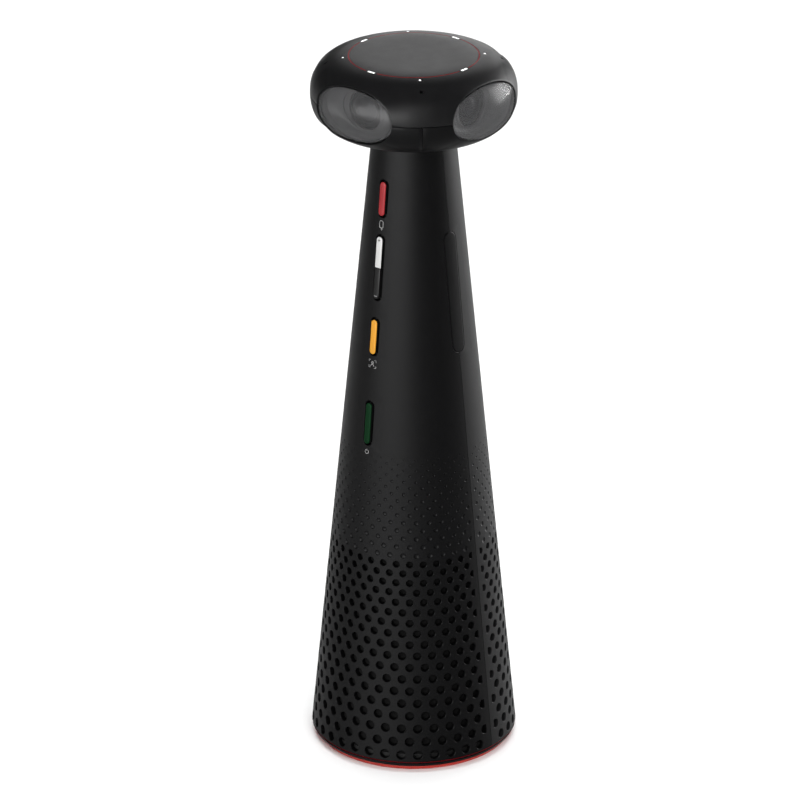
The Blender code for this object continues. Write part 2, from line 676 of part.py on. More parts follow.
def make_shells():
    top = NECK_JOINT - GAP / 2
    front = column_wall("front_shell", 0.0, COLUMN_WALL, COLUMN_BOTTOM, top, "black_plastic")
    rear = column_wall("rear_shell", 0.0, COLUMN_WALL, COLUMN_BOTTOM, top, "black_plastic")
    cut(front, seam_half("front_trim", 1))
    cut(rear, seam_half("rear_trim", -1))
    pocket = panel_prism("panel_pocket", GAP)
    cut(front, pocket)
    cut(rear, pocket)
    for name, ends in [(name, ends) for name, (ends, finish) in KEYS.items()] + [("volume", VOLUME_KEY)]:
        cut(front, slab(name + "_slot", slot_outline(ends), -0.003, 0.006, parent=key_face))
    bay = box("connector_bay", (BAY_WIDTH, 0.012, BAY_HEIGHT))
    bay.location = (0, column_radius(BAY_CENTRE), BAY_CENTRE)
    cut(rear, bay)
    margin = 2 * PANEL_WIDTH
    low = NECK_JOINT - PANEL_ENDS[1] - margin
    high = NECK_JOINT - PANEL_ENDS[0] + margin
    for name, side in (("left", -1), ("right", 1)):
        panel = column_wall("side_panel_" + name, 0.0, COLUMN_WALL, low, high, "black_plastic")
        boolean(panel, panel_prism("panel_outline_" + name, 0.0), 'INTERSECT')
        cut(panel, box("panel_side_" + name, (0.1, 0.2, 0.4), location=(-side * 0.05, 0, 0.2)))


def make_key(name, ends, finish):
    """A sliding key: cap through the slot, a flange behind the wall and a nub for its switch."""
    flange = COLUMN_WALL + KEY_FLANGE_CLEARANCE
    flange_back = flange + KEY_FLANGE_THICKNESS
    cap = slab(name, slot_outline(ends, KEY_GAP), -KEY_PROUD, flange_back, finish, key_face)
    plate = slab(name + "_flange", slot_outline(ends, -KEY_FLANGE), flange, flange_back, parent=key_face)
    nub_start = flange_back - KEY_FLANGE_THICKNESS / 2
    nub = rod(name + "_nub", SWITCH_SIZE / 4, KEY_NUB_END - nub_start, axis='Y', parent=key_face,
              location=(0, (nub_start + KEY_NUB_END) / 2, middle_of(ends)), segments=8)
    fuse(cap, plate, nub)


def make_rocker():
    """The volume key: two caps on a carrier that tilts on a pin across the column."""
    axis = empty("rocker_axis", (0, ROCKER_PIVOT_DEPTH, middle_of(VOLUME_KEY)), parent=key_face)
    half = length_of(VOLUME_KEY) / 2 - KEY_GAP
    radius = SLOT_WIDTH / 2 - KEY_GAP
    front = -KEY_PROUD - ROCKER_PIVOT_DEPTH
    cap_back = ROCKER_CAP_DEPTH - ROCKER_PIVOT_DEPTH
    arc = 6
    caps = (("volume_up_cap", 1, "white_plastic"), ("volume_down_cap", -1, "black_plastic"))
    for name, sign, finish in caps:
        outline = []
        for i in range(arc + 1):
            angle = math.pi * i / arc
            outline.append((radius * math.cos(angle), sign * (half - radius + radius * math.sin(angle))))
        outline += [(-radius, sign * GAP / 2), (radius, sign * GAP / 2)]
        slab(name, outline, front, cap_back, finish, axis)

    # the flange keeps clear of the wall while its ends swing
    swing = (half + KEY_GAP + KEY_FLANGE) * math.sin(ROCKER_TILT)
    flange = COLUMN_WALL + KEY_FLANGE_CLEARANCE + swing - ROCKER_PIVOT_DEPTH
    back = flange + 0.8 * KEY_FLANGE_THICKNESS
    carrier = slab("rocker_carrier", obround(2 * radius, 2 * half), cap_back + GAP, back,
                   "grey_plastic", axis)
    wide = obround(SLOT_WIDTH + 2 * KEY_FLANGE, 2 * (half + KEY_GAP + KEY_FLANGE))
    fuse(carrier, slab("rocker_flange", wide, flange, back, parent=axis))
    bore = PIN_RADIUS + GAP
    lug = 2 * bore + 0.0015     # height of the lug round the pin, and its reach past it
    reach = bore + 0.0004       # stops short of the bracket's floor while it tilts
    fuse(carrier, box("rocker_lug", (2 * radius, reach - flange, lug), parent=axis,
                      location=(0, (reach + flange) / 2, 0)))
    for sign in (1, -1):
        start = (flange + back) / 2
        end = KEY_NUB_END - ROCKER_PIVOT_DEPTH
        fuse(carrier, rod(f"rocker_nub_{sign}", SWITCH_SIZE / 4, end - start, axis='Y', parent=axis,
                          location=(0, (start + end) / 2, sign * ROCKER_NUB_DISTANCE), segments=8))
    cut(carrier, rod("rocker_bore", bore, PIN_LENGTH, axis='X', parent=axis))
    rod("rocker_pin", PIN_RADIUS, PIN_LENGTH, "steel", axis='X', parent=axis)

    near = back + GAP + 0.0001
    far = KEY_BOARD_DEPTH - ROCKER_PIVOT_DEPTH - GAP
    length = 0.0060
    bracket = box("rocker_bracket", (PIN_LENGTH + 0.0010, far - near, length), "steel", parent=axis,
                  location=(0, (near + far) / 2, 0))
    floor = 0.0004
    cut(bracket, box("bracket_gap", (2 * radius + 0.0016, far - near, 2 * length), parent=axis,
                     location=(0, (near + far) / 2 - floor, 0)))
    cut(bracket, rod("bracket_bore", bore, 2 * PIN_LENGTH, axis='X', parent=axis))


def make_key_board():
    margin = 0.0020
    top = middle_of(RED_KEY) + length_of(RED_KEY) / 2 + margin
    bottom = middle_of(GREEN_KEY) - length_of(GREEN_KEY) / 2 - margin
    board = box("key_board", (KEY_BOARD_WIDTH, BOARD_THICKNESS, top - bottom), "board",
                location=(0, KEY_BOARD_DEPTH + BOARD_THICKNESS / 2, (top + bottom) / 2), parent=key_face)
    places = [middle_of(ends) for ends, finish in KEYS.values()]
    places += [middle_of(VOLUME_KEY) + sign * ROCKER_NUB_DISTANCE for sign in (-1, 1)]
    root = BOARD_THICKNESS / 2  # how far a switch is sunk into the board
    for i, place in enumerate(places):
        switch = box(f"switch_{i}", (SWITCH_SIZE, SWITCH_HEIGHT + root, SWITCH_SIZE), parent=key_face,
                     location=(0, KEY_BOARD_DEPTH + (root - SWITCH_HEIGHT) / 2, place))
        fuse(board, switch)


# ---------------------------------------------------------------- base
def make_base():
    turned("foot_pad", [(0.0, FOOT_PAD_THICKNESS), (RING_BORE - GAP, FOOT_PAD_THICKNESS),
                        (RING_BORE - GAP, 0.0), (0.0, 0.0)], "rubber", closed=False)
    turned("foot_ring", [(FOOT_RADIUS + FOOT_FLARE, FOOT_RING_TOP), (FOOT_RADIUS, FOOT_RING_BOTTOM),
                         (RING_BORE, FOOT_RING_BOTTOM), (RING_BORE, FOOT_RING_TOP)], "red_plastic")
    bottom = FOOT_RING_TOP + GAP
    turned("base_ring", [(column_radius(BASE_RING_TOP) - 0.0002, BASE_RING_TOP),
                         (FOOT_RADIUS + 1.5 * FOOT_FLARE, bottom), (RING_BORE, bottom),
                         (RING_BORE, BASE_RING_TOP)], "black_plastic")
    low = BASE_RING_TOP + GAP
    high = low + ACCENT_THICKNESS
    turned("accent_ring", [(column_radius(high) - 0.0003, high), (column_radius(high) - 0.0003, low),
                           (RING_BORE, low), (RING_BORE, high)], "red_plastic")

    wide = column_radius(BASE_PLATE_TOP) - COLUMN_WALL - GAP
    step = COLUMN_BOTTOM + GAP
    low = FOOT_PAD_THICKNESS + GAP
    plate = turned("base_plate", [(0.0, BASE_PLATE_TOP), (wide, BASE_PLATE_TOP), (wide, step),
                                  (RING_BORE - GAP, step), (RING_BORE - GAP, low), (0.0, low)],
                   "black_plastic", closed=False)
    foot = BASE_PLATE_TOP + GAP
    ballast = rod("ballast", BALLAST_RADIUS, BALLAST_HEIGHT, "steel",
                  location=(0, 0, foot + BALLAST_HEIGHT / 2), segments=40)
    head_low = low + GAP
    shank_top = foot + BALLAST_HEIGHT - 0.0010
    for i in range(BASE_SCREWS):
        angle = 2 * math.pi * (i + 0.25) / BASE_SCREWS
        x = BASE_SCREW_CIRCLE * math.cos(angle)
        y = BASE_SCREW_CIRCLE * math.sin(angle)
        head_top = head_low + SCREW_HEAD_HEIGHT
        profile = [(0.0, shank_top), (SCREW_RADIUS, shank_top), (SCREW_RADIUS, head_top),
                   (SCREW_HEAD_RADIUS, head_top), (SCREW_HEAD_RADIUS, head_low), (0.0, head_low)]
        turned(f"base_screw_{i + 1}", profile, "steel", steps=12, closed=False, location=(x, y, 0))
        clear_top = head_top + GAP
        profile = [(0.0, 0.03), (SCREW_RADIUS + GAP, 0.03), (SCREW_RADIUS + GAP, clear_top),
                   (SCREW_HEAD_RADIUS + GAP, clear_top), (SCREW_HEAD_RADIUS + GAP, 0.001), (0.0, 0.001)]
        hole = turned(f"screw_hole_{i + 1}", profile, steps=12, closed=False, location=(x, y, 0))
        cut(plate, hole)
        cut(ballast, hole)


# ---------------------------------------------------------------- speaker
def make_speaker():
    """A driver that fires down at a deflector, so the sound leaves all round the column."""
    foot = BASE_PLATE_TOP + GAP + BALLAST_HEIGHT + GAP
    profile = []
    steps = 6
    for i in range(steps + 1):
        share = i / steps
        r = DEFLECTOR_TIP + (DEFLECTOR_RADIUS - DEFLECTOR_TIP) * share
        profile.append((r, foot + DEFLECTOR_SKIRT + DEFLECTOR_HEIGHT * (1 - share) ** 2))
    profile = [(0.0, profile[0][1])] + profile + [(DEFLECTOR_RADIUS, foot), (0.0, foot)]
    deflector = turned("sound_deflector", profile, "black_plastic", steps=24, closed=False)
    post_top = SPEAKER_FACE - GAP
    for i in range(3):
        angle = 2 * math.pi * (i + 0.5) / 3
        distance = DEFLECTOR_RADIUS - 0.0022
        base = foot + 0.0005
        post = rod(f"deflector_post_{i}", POST_RADIUS, post_top - base, segments=10,
                   location=(distance * math.cos(angle), distance * math.sin(angle), (post_top + base) / 2))
        fuse(deflector, post)

    seat = CONE_RADIUS + SURROUND_WIDTH
    back = SPEAKER_FACE + CONE_DEPTH + 0.0080
    rim_top = SPEAKER_FACE + BASKET_RIM
    coil_bore = COIL_RADIUS + 0.0015
    profile = [(BASKET_NECK + BASKET_WALL, back), (seat + BASKET_WALL, rim_top), (SPEAKER_RADIUS, rim_top),
               (SPEAKER_RADIUS, SPEAKER_FACE), (seat, SPEAKER_FACE), (seat, rim_top),
               (BASKET_NECK, back - BASKET_WALL), (coil_bore, back - BASKET_WALL), (coil_bore, back)]
    turned("speaker_basket", profile, "black_plastic", steps=24)

    low = back + GAP
    top = low + MAGNET_HEIGHT
    profile = [(0.0, top), (MAGNET_RADIUS, top), (MAGNET_RADIUS, low), (0.0, low)]
    turned("speaker_magnet", profile, "steel", steps=32, closed=False)

    # the cone opens downwards, with a thin dome closing its middle and a coil tube above
    thin = CONE_THICKNESS
    low = SPEAKER_FACE + CONE_TRAVEL + GAP
    high = low + CONE_DEPTH
    coil_top = back - CONE_TRAVEL - 3 * GAP
    profile = [(0.0, high + thin), (COIL_RADIUS - thin, high + thin), (COIL_RADIUS - thin, coil_top),
               (COIL_RADIUS, coil_top), (COIL_RADIUS, high + thin), (CONE_NECK, high + thin),
               (CONE_RADIUS, low + thin), (CONE_RADIUS, low), (CONE_NECK, high), (0.0, high - 0.0015)]
    turned("speaker_cone", profile, "paper_cone", steps=24, closed=False)

    half_roll = []
    inner = CONE_RADIUS + GAP
    outer = seat - GAP
    centre = (inner + outer) / 2
    reach = (outer - inner) / 2
    for i in range(5):
        angle = math.pi * i / 4
        half_roll.append((centre + reach * math.cos(angle), low - 0.0006 - 0.0010 * math.sin(angle)))
    back_roll = [(r, z + 0.0005) for r, z in reversed(half_roll)]
    turned("speaker_surround", back_roll + half_roll, "rubber", steps=24)

    bottom = rim_top + GAP
    lean = 0.9 * COLUMN_TAPER
    outer_low = SPEAKER_RADIUS
    outer_high = SPEAKER_RADIUS - lean * (BOX_TOP - bottom)
    profile = [(0.0, BOX_TOP), (outer_high, BOX_TOP), (outer_low, bottom), (outer_low - BOX_WALL, bottom),
               (outer_high - BOX_WALL, BOX_TOP - BOX_WALL), (0.0, BOX_TOP - BOX_WALL)]
    turned("speaker_box", profile, "black_plastic", steps=32, closed=False)

    liner = column_wall("grille_liner", COLUMN_WALL + GAP, COLUMN_WALL + GAP + LINER_THICKNESS,
                        BASE_PLATE_TOP + GAP, LINER_TOP, "cloth", steps=48)
    window = box("liner_window", (BAY_WIDTH + 0.002, 0.02, BAY_HEIGHT + 0.002))
    window.location = (0, column_radius(BAY_CENTRE), BAY_CENTRE)
    cut(liner, window)


# ---------------------------------------------------------------- electronics
def make_electronics():
    width, thickness, height = MAIN_BOARD
    processor = 0.0014
    board_y = MAIN_BOARD_Y
    middle = MAIN_BOARD_BOTTOM + height / 2
    board = box("main_board", MAIN_BOARD, "board", location=(0, board_y, middle))
    fuse(board, box("processor", (0.016, 2 * processor, 0.016),
                    location=(0, board_y + thickness / 2, middle + 0.010)))
    fuse(board, box("power_inductor", (0.010, 0.0040, 0.010),
                    location=(-0.006, board_y - 0.0026, middle - 0.022)))
    fuse(board, box("board_socket", (0.012, 0.0030, 0.004), location=(0, board_y - 0.0020, middle + 0.034)))
    face = board_y + thickness / 2 + processor + GAP
    spreader = box("heat_spreader", (width - 0.004, SPREADER_THICKNESS, height - 0.010), "aluminium",
                   location=(0, face + SPREADER_THICKNESS / 2, middle))
    for i in range(SPREADER_FINS):
        x = (i - (SPREADER_FINS - 1) / 2) * 0.005
        fin = box(f"spreader_fin_{i}", (*SPREADER_FIN, height - 0.010),
                  location=(x, face + SPREADER_THICKNESS + 0.0020, middle))
        fuse(spreader, fin)

    # a flat ribbon from the head board down through the neck to the main board
    top = FRAME_TOP
    bottom = MAIN_BOARD_BOTTOM + height + GAP
    steps = 10
    mesh = bpy.data.meshes.new("ribbon_cable")
    rows = []
    faces = []
    for i in range(steps + 1):
        share = i / steps
        bend = 0.0010 * math.sin(2 * math.pi * share)
        y = board_y + (0.0046 - board_y) * share + bend
        z = bottom + (top - bottom) * share
        rows += [(-RIBBON[0] / 2, y, z), (RIBBON[0] / 2, y, z)]
        if i:
            k = 2 * i
            faces.append((k - 2, k - 1, k + 1, k))
    mesh.from_pydata(rows, [], faces)
    ribbon = add("ribbon_cable", mesh, "grey_plastic")
    thicken = ribbon.modifiers.new("thickness", 'SOLIDIFY')
    thicken.thickness = RIBBON[1]
    thicken.offset = 0.0


def make_connector_bay():
    plate_face = column_radius(BAY_CENTRE) - BAY_RECESS
    plate_y = plate_face - BAY_PLATE_THICKNESS / 2
    plate = box("connector_plate", (BAY_WIDTH - 2 * GAP, BAY_PLATE_THICKNESS, BAY_HEIGHT - 2 * GAP),
                "black_plastic", location=(0, plate_y, BAY_CENTRE))
    for sign in (-1, 1):
        outline = [(z + sign * PORT_SPACING / 2, x) for x, z in obround(PORT_SIZE[1], PORT_SIZE[0])]
        cut(plate, slab(f"port_opening_{sign}", outline, -0.003, 0.003, location=(0, plate_y, BAY_CENTRE)))
    width, depth, height = SOCKET_SIZE
    socket_front = plate_face - BAY_PLATE_THICKNESS - GAP
    board_depth = CONNECTOR_BOARD_DEPTH
    low = BAY_CENTRE - height / 2 - BOARD_THICKNESS
    board = box("connector_board", (BAY_WIDTH - 0.004, board_depth, BOARD_THICKNESS), "board",
                location=(0, socket_front - board_depth / 2, low + BOARD_THICKNESS / 2 + 0.0001))
    for sign in (-1, 1):
        x = sign * PORT_SPACING / 2
        socket = box(f"socket_{sign}", SOCKET_SIZE, location=(x, socket_front - depth / 2, BAY_CENTRE))
        hollow = box(f"socket_hollow_{sign}", (width - 2 * SOCKET_WALL, depth, height - 2 * SOCKET_WALL),
                     location=(x, socket_front - depth / 2 + 0.001, BAY_CENTRE))
        fuse(board, socket)
        cut(board, hollow)


make_top_cover()
make_lower_covers()
make_top_plate()
make_trim_ring()
make_light_guide()
for side in SIDES:
    make_window(side)
    make_shroud(side)
    make_lens(side)
make_head_frame()
make_shells()
for key, (ends, finish) in KEYS.items():
    make_key(key, ends, finish)
make_rocker()
make_key_board()
make_base()
make_speaker()
make_electronics()
make_connector_bay()
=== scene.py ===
# Round-headed conference camera on a perforated speaker column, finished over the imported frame.
import json
import math

import bpy
import numpy as np
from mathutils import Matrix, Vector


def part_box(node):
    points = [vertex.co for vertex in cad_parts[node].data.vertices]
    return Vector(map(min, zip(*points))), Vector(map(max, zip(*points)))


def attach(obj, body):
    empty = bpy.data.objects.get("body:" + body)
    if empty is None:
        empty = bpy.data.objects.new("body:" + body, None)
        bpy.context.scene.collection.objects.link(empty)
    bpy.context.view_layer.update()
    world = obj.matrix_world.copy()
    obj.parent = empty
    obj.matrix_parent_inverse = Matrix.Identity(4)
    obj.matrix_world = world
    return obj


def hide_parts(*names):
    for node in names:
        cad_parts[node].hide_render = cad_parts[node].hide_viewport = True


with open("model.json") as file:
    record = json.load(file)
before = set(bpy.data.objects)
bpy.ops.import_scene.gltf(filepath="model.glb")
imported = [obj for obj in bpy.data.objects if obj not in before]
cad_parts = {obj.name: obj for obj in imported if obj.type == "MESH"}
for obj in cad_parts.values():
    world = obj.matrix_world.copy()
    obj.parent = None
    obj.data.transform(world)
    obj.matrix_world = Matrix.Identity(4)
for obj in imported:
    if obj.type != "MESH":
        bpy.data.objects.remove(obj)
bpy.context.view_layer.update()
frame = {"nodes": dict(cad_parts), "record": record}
mm = 0.001

# shared sizes, in metres and radians
column = {
    "footRadius": 45.7 * mm,      # cone radius carried down to the table
    "taper": 0.0985,
    "wall": 2.0 * mm,
    "seamOffset": 0.2 * mm,       # the parting plane leans towards the keys
    "seamLean": 0.0078,
    "seamGap": 0.10 * mm,
    "edge": 0.14 * mm,            # chamfer along every cut edge
}
head = {
    "radius": 44.05 * mm,
    "flat": 14.6 * mm,            # flat middle of the crown
    "rise": 15.92 * mm,
    "drop": 17.36 * mm,
    "riseBelow": 20.73 * mm,      # equator above the neck joint
    "crownPowers": (4.0, 2.08),
    "bellyPowers": (3.35, 2.51),
    "neckFillet": 2.1 * mm,
    "wall": 1.8 * mm,
    "plate": 1.1 * mm,            # thickness of the plate inside the trim
    "seamDrop": 0.7 * mm,         # cover joint below the equator
    "jointHalf": 0.09 * mm,       # half the gap between two covers
    "chamfer": 0.10 * mm,
    "pitch": (1.3 * mm, 1.1 * mm, 0.5 * mm),    # quads of the covers, from the windows to the neck
}
columnBottom = float(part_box("front_shell")[0][2])
neckJoint = float(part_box("front_shell")[1][2])
equator = neckJoint + head["riseBelow"] + 0.15 * mm
coverSeam = equator - head["seamDrop"]
lensHeight = equator - 0.2 * mm


def coneRadius(z):
    return column["footRadius"] - column["taper"] * z


# A sheet is a set of points in two surface coordinates with the faces between them. Closing it lays
# the sheet on a surface three times, outside, a chamfer below and inside, and walls every free edge.
def newSheet():
    return {"outer": [], "inner": [], "depth": [], "faces": [], "back": [], "count": 0}


def addPoints(sheet, outer, inner=None, depth=0.0):
    outer = np.asarray(outer, float)
    inner = outer if inner is None else np.asarray(inner, float)
    shape = outer.shape[:-1]
    count = int(np.prod(shape))
    sheet["outer"].append(outer.reshape(-1, 2).copy())
    sheet["inner"].append(np.broadcast_to(inner, outer.shape).reshape(-1, 2).copy())
    sheet["depth"].append(np.broadcast_to(depth, shape).reshape(-1).astype(float))
    index = np.arange(count).reshape(shape) + sheet["count"]
    sheet["count"] += count
    return index


def between(ringA, ringB):
    # quads between two closed rings of indices, the first one outside the second
    return np.stack([ringA, np.roll(ringA, -1, -1), np.roll(ringB, -1, -1), ringB], -1).reshape(-1, 4)


def along(pathA, pathB):
    # quads between two open paths of indices, the second on the left of the first
    corners = [pathA[..., :-1], pathA[..., 1:], pathB[..., 1:], pathB[..., :-1]]
    return np.stack(corners, -1).reshape(-1, 4)


def gridFaces(index):
    # quads of a grid of indices, rows upwards and columns to the right
    return along(index[:-1], index[1:])


def addFaces(sheet, faces, back=True):
    sheet["faces"].append(faces)
    if back:
        sheet["back"].append(faces)


def tidyFaces(faces):
    # plain lists of faces, with the corners that merged written once
    whole = faces[(faces != np.roll(faces, 1, 1)).all(1)].tolist()
    for row in faces[(faces == np.roll(faces, 1, 1)).any(1)].tolist():
        kept = [v for i, v in enumerate(row) if v != row[i - 1]]
        if len(kept) > 2:
            whole.append(kept)
    return whole


def closeSheet(sheet, surface, wall, edge):
    outer = np.concatenate(sheet["outer"])
    inner = np.concatenate(sheet["inner"])
    depth = np.concatenate(sheet["depth"])
    keys = np.floor(np.column_stack([outer, inner, depth]) * 1e6 + 0.137).astype(np.int64)
    first, index = np.unique(keys, axis=0, return_index=True, return_inverse=True)[1:]
    index = index.reshape(-1)
    outer, inner, depth = outer[first], inner[first], depth[first]
    count = len(first)
    points = np.concatenate([surface(outer, depth), surface(inner, np.full(count, edge)),
                             surface(inner, np.full(count, wall))])
    faces = index[np.concatenate(sheet["faces"])]
    ends = np.concatenate([faces, np.roll(faces, -1, 1)], 0).reshape(2, -1)
    ends = ends[:, ends[0] != ends[1]]
    codes = ends[0] * count + ends[1]
    free = ends[:, ~np.isin(codes, ends[1] * count + ends[0])]
    start, end = free
    walls = [np.stack([end + k * count, start + k * count,
                       start + (k + 1) * count, end + (k + 1) * count], 1)
             for k in (0, 1)]
    whole = tidyFaces(np.concatenate([faces] + walls))
    for part in sheet["back"]:
        whole += tidyFaces(index[part][:, ::-1] + 2 * count)
    used = np.unique(np.concatenate([np.asarray(f) for f in whole]))
    place = np.full(3 * count, -1)
    place[used] = np.arange(len(used))
    return points[used], [[int(place[v]) for v in f] for f in whole]


def makePiece(name, points, faces, slot, material, replaced=(), body="housing", sharp=40):
    mesh = bpy.data.meshes.new(name)
    mesh.from_pydata(np.asarray(points).tolist(), [], faces)
    mesh.shade_smooth()
    mesh.set_sharp_from_angle(angle=math.radians(sharp))
    piece = bpy.data.objects.new(name, mesh)
    bpy.context.scene.collection.objects.link(piece)
    mesh.materials.append(material)
    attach(piece, body)
    if replaced:
        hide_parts(*replaced)


def subdivided(stops, pitches):
    # values through every stop, in equal steps of about a pitch from each to the next
    values = [np.array([stops[0]])]
    for a, b, pitch in zip(stops, stops[1:], pitches):
        steps = max(1, round((b - a) / pitch))
        values.append(a + (b - a) * np.arange(1, steps + 1) / steps)
    return np.concatenate(values)


def outsideBlocks(rows, columns, blocks):
    # which cells of a grid of levels have their middle outside every block (left, right, low, high)
    down = ((rows[1:] + rows[:-1]) / 2)[:, None]
    across = ((columns[1:] + columns[:-1]) / 2)[None, :]
    keep = np.ones((len(rows) - 1, len(columns) - 1), bool)
    for left, right, low, high in blocks:
        keep &= ~((down > low) & (down < high) & (across > left) & (across < right))
    return keep


def within(values, low, high, slack):
    return np.flatnonzero((values > low - slack) & (values < high + slack))


def aroundCore(points, centre, core, radius):
    # the nearest points of an outline that keeps a radius from a rectangle, segment or point
    local = points - centre
    nearest = np.clip(local, -np.asarray(core), np.asarray(core))
    away = local - nearest
    away = away / np.maximum(np.linalg.norm(away, axis=-1, keepdims=True), 1e-9)
    return centre + nearest + radius * away


# materials
def newMaterial(name, colour, roughness=0.5, metallic=0.0, alpha=1.0, gloss=0.5):
    material = bpy.data.materials.new(name)
    material.use_nodes = True
    shader = material.node_tree.nodes["Principled BSDF"]
    shader.inputs["Base Color"].default_value = (*colour, 1.0)
    shader.inputs["Roughness"].default_value = roughness
    shader.inputs["Metallic"].default_value = metallic
    shader.inputs["Alpha"].default_value = alpha
    shader.inputs["Specular IOR Level"].default_value = gloss
    return material, material.node_tree, shader


def addGrain(tree, shader, scale, bump, colours=None, roughness=None):
    # fine noise in metres of object space: bump, and a small drift of colour and roughness
    nodes, links = tree.nodes, tree.links
    where = nodes.new("ShaderNodeTexCoord")
    noise = nodes.new("ShaderNodeTexNoise")
    noise.inputs["Scale"].default_value = scale
    noise.inputs["Detail"].default_value = 4.0
    links.new(where.outputs["Object"], noise.inputs["Vector"])
    if bump:
        lift = nodes.new("ShaderNodeBump")
        lift.inputs["Strength"].default_value = bump
        lift.inputs["Distance"].default_value = 0.00005
        links.new(noise.outputs["Fac"], lift.inputs["Height"])
        links.new(lift.outputs["Normal"], shader.inputs["Normal"])
    broad = nodes.new("ShaderNodeTexNoise")
    broad.inputs["Scale"].default_value = scale * 0.02
    broad.inputs["Detail"].default_value = 2.0
    links.new(where.outputs["Object"], broad.inputs["Vector"])
    if colours:
        ramp = nodes.new("ShaderNodeMix")
        ramp.data_type = 'RGBA'
        ramp.inputs[6].default_value = (*colours[0], 1.0)
        ramp.inputs[7].default_value = (*colours[1], 1.0)
        links.new(broad.outputs["Fac"], ramp.inputs[0])
        links.new(ramp.outputs[2], shader.inputs["Base Color"])
    if roughness:
        span = nodes.new("ShaderNodeMapRange")
        span.inputs["To Min"].default_value = roughness[0]
        span.inputs["To Max"].default_value = roughness[1]
        links.new(broad.outputs["Fac"], span.inputs["Value"])
        links.new(span.outputs["Result"], shader.inputs["Roughness"])


def grainedPlastic(name, colour, roughness, grain, bump, spread, gloss):
    material, tree, shader = newMaterial(name, colour, roughness, gloss=gloss)
    dark = tuple(c * (1 - spread) for c in colour)
    light = tuple(c * (1 + spread) for c in colour)
    addGrain(tree, shader, grain, bump, (dark, light), (roughness - 0.04, roughness + 0.05))
    return material


# slot, name, colour, roughness, grain per metre, bump, colour spread and gloss of each plastic
plastics = (
    ("shell_black", "shellBlack", (0.0016, 0.0016, 0.0018), 0.47, 9000.0, 0.25, 0.12, 0.045),
    ("rear_black", "rearBlack", (0.0055, 0.0055, 0.0058), 0.50, 9000.0, 0.25, 0.12, 0.06),
    ("crown_grey", "crownGrey", (0.0040, 0.0040, 0.0043), 0.44, 9000.0, 0.25, 0.12, 0.07),
    ("inner_plastic", "innerPlastic", (0.006, 0.006, 0.006), 0.6, 9000.0, 0.25, 0.12, 0.1),
    ("shroud_grey", "shroudGrey", (0.11, 0.11, 0.113), 0.5, 6000.0, 0.1, 0.12, 0.2),
    ("red_key_plastic", "redKey", (0.32, 0.017, 0.022), 0.40, 7000.0, 0.1, 0.12, 0.08),
    ("yellow_key_plastic", "yellowKey", (0.66, 0.29, 0.016), 0.40, 7000.0, 0.1, 0.12, 0.1),
    ("green_key_plastic", "greenKey", (0.0015, 0.022, 0.006), 0.40, 7000.0, 0.1, 0.12, 0.02),
    ("white_key_plastic", "whiteKey", (0.62, 0.62, 0.61), 0.40, 7000.0, 0.1, 0.03, 0.15),
    ("black_key_plastic", "blackKey", (0.004, 0.004, 0.004), 0.40, 7000.0, 0.1, 0.12, 0.08),
    ("trim_red", "trimRed", (0.12, 0.003, 0.006), 0.40, 7000.0, 0.05, 0.12, 0.03),
    ("foot_red", "footRed", (0.46, 0.036, 0.026), 0.40, 7000.0, 0.08, 0.12, 0.15),
    ("foot_rubber", "footRubber", (0.015, 0.015, 0.015), 0.85, 3000.0, 0.5, 0.12, 0.2),
    ("surround_rubber", "surroundRubber", (0.012, 0.012, 0.012), 0.7, 4000.0, 0.2, 0.12, 0.2),
    ("cone_paper", "conePaper", (0.02, 0.02, 0.02), 0.75, 5000.0, 0.5, 0.12, 0.2),
    ("circuit_board", "circuitBoard", (0.008, 0.09, 0.03), 0.45, 2500.0, 0.3, 0.25, 0.2),
    ("print_grey", "printGrey", (0.36, 0.36, 0.36), 0.6, 7000.0, 0.05, 0.05, 0.2),
)


def makeFinishes():
    finish = {row[0]: grainedPlastic(*row[1:]) for row in plastics}
    finish["acoustic_cloth"] = makeCloth()
    for name, colour in (("steel", (0.50, 0.50, 0.52)), ("aluminium", (0.68, 0.68, 0.70))):
        material, tree, shader = newMaterial(name, colour, 0.35, 1.0)
        addGrain(tree, shader, 4000.0, 0.15, None, (0.28, 0.42))
        finish[name] = material
    finish["light_white"] = makeLightWhite()
    finish["smoked_glass"] = makeSmokedGlass()
    finish["lens_glass"] = makeLensGlass()
    return finish


def makeCloth():
    # fine woven mesh: two crossed wave patterns for the threads
    material, tree, shader = newMaterial("acousticCloth", (0.002, 0.002, 0.002), 0.95, gloss=0.06)
    nodes, links = tree.nodes, tree.links
    where = nodes.new("ShaderNodeTexCoord")
    lift = nodes.new("ShaderNodeBump")
    lift.inputs["Strength"].default_value = 0.6
    lift.inputs["Distance"].default_value = 0.0001
    weave = nodes.new("ShaderNodeMath")
    weave.operation = 'MAXIMUM'
    for k, direction in enumerate(('Z', 'DIAGONAL')):
        wave = nodes.new("ShaderNodeTexWave")
        wave.bands_direction = direction
        wave.inputs["Scale"].default_value = 700.0
        links.new(where.outputs["Object"], wave.inputs["Vector"])
        links.new(wave.outputs["Fac"], weave.inputs[k])
    links.new(weave.outputs["Value"], lift.inputs["Height"])
    links.new(lift.outputs["Normal"], shader.inputs["Normal"])
    return material


def makeLightWhite():
    material, tree, shader = newMaterial("lightWhite", (0.92, 0.92, 0.92), 0.3)
    shader.inputs["Emission Color"].default_value = (1.0, 1.0, 1.0, 1.0)
    shader.inputs["Emission Strength"].default_value = 0.55
    addGrain(tree, shader, 5000.0, 0.05)
    return material


def makeSmokedGlass():
    material, tree, shader = newMaterial("smokedGlass", (0.09, 0.09, 0.092), 0.22, 0.0, 0.30, 0.10)
    addGrain(tree, shader, 1500.0, 0.01, None, (0.20, 0.26))
    return material


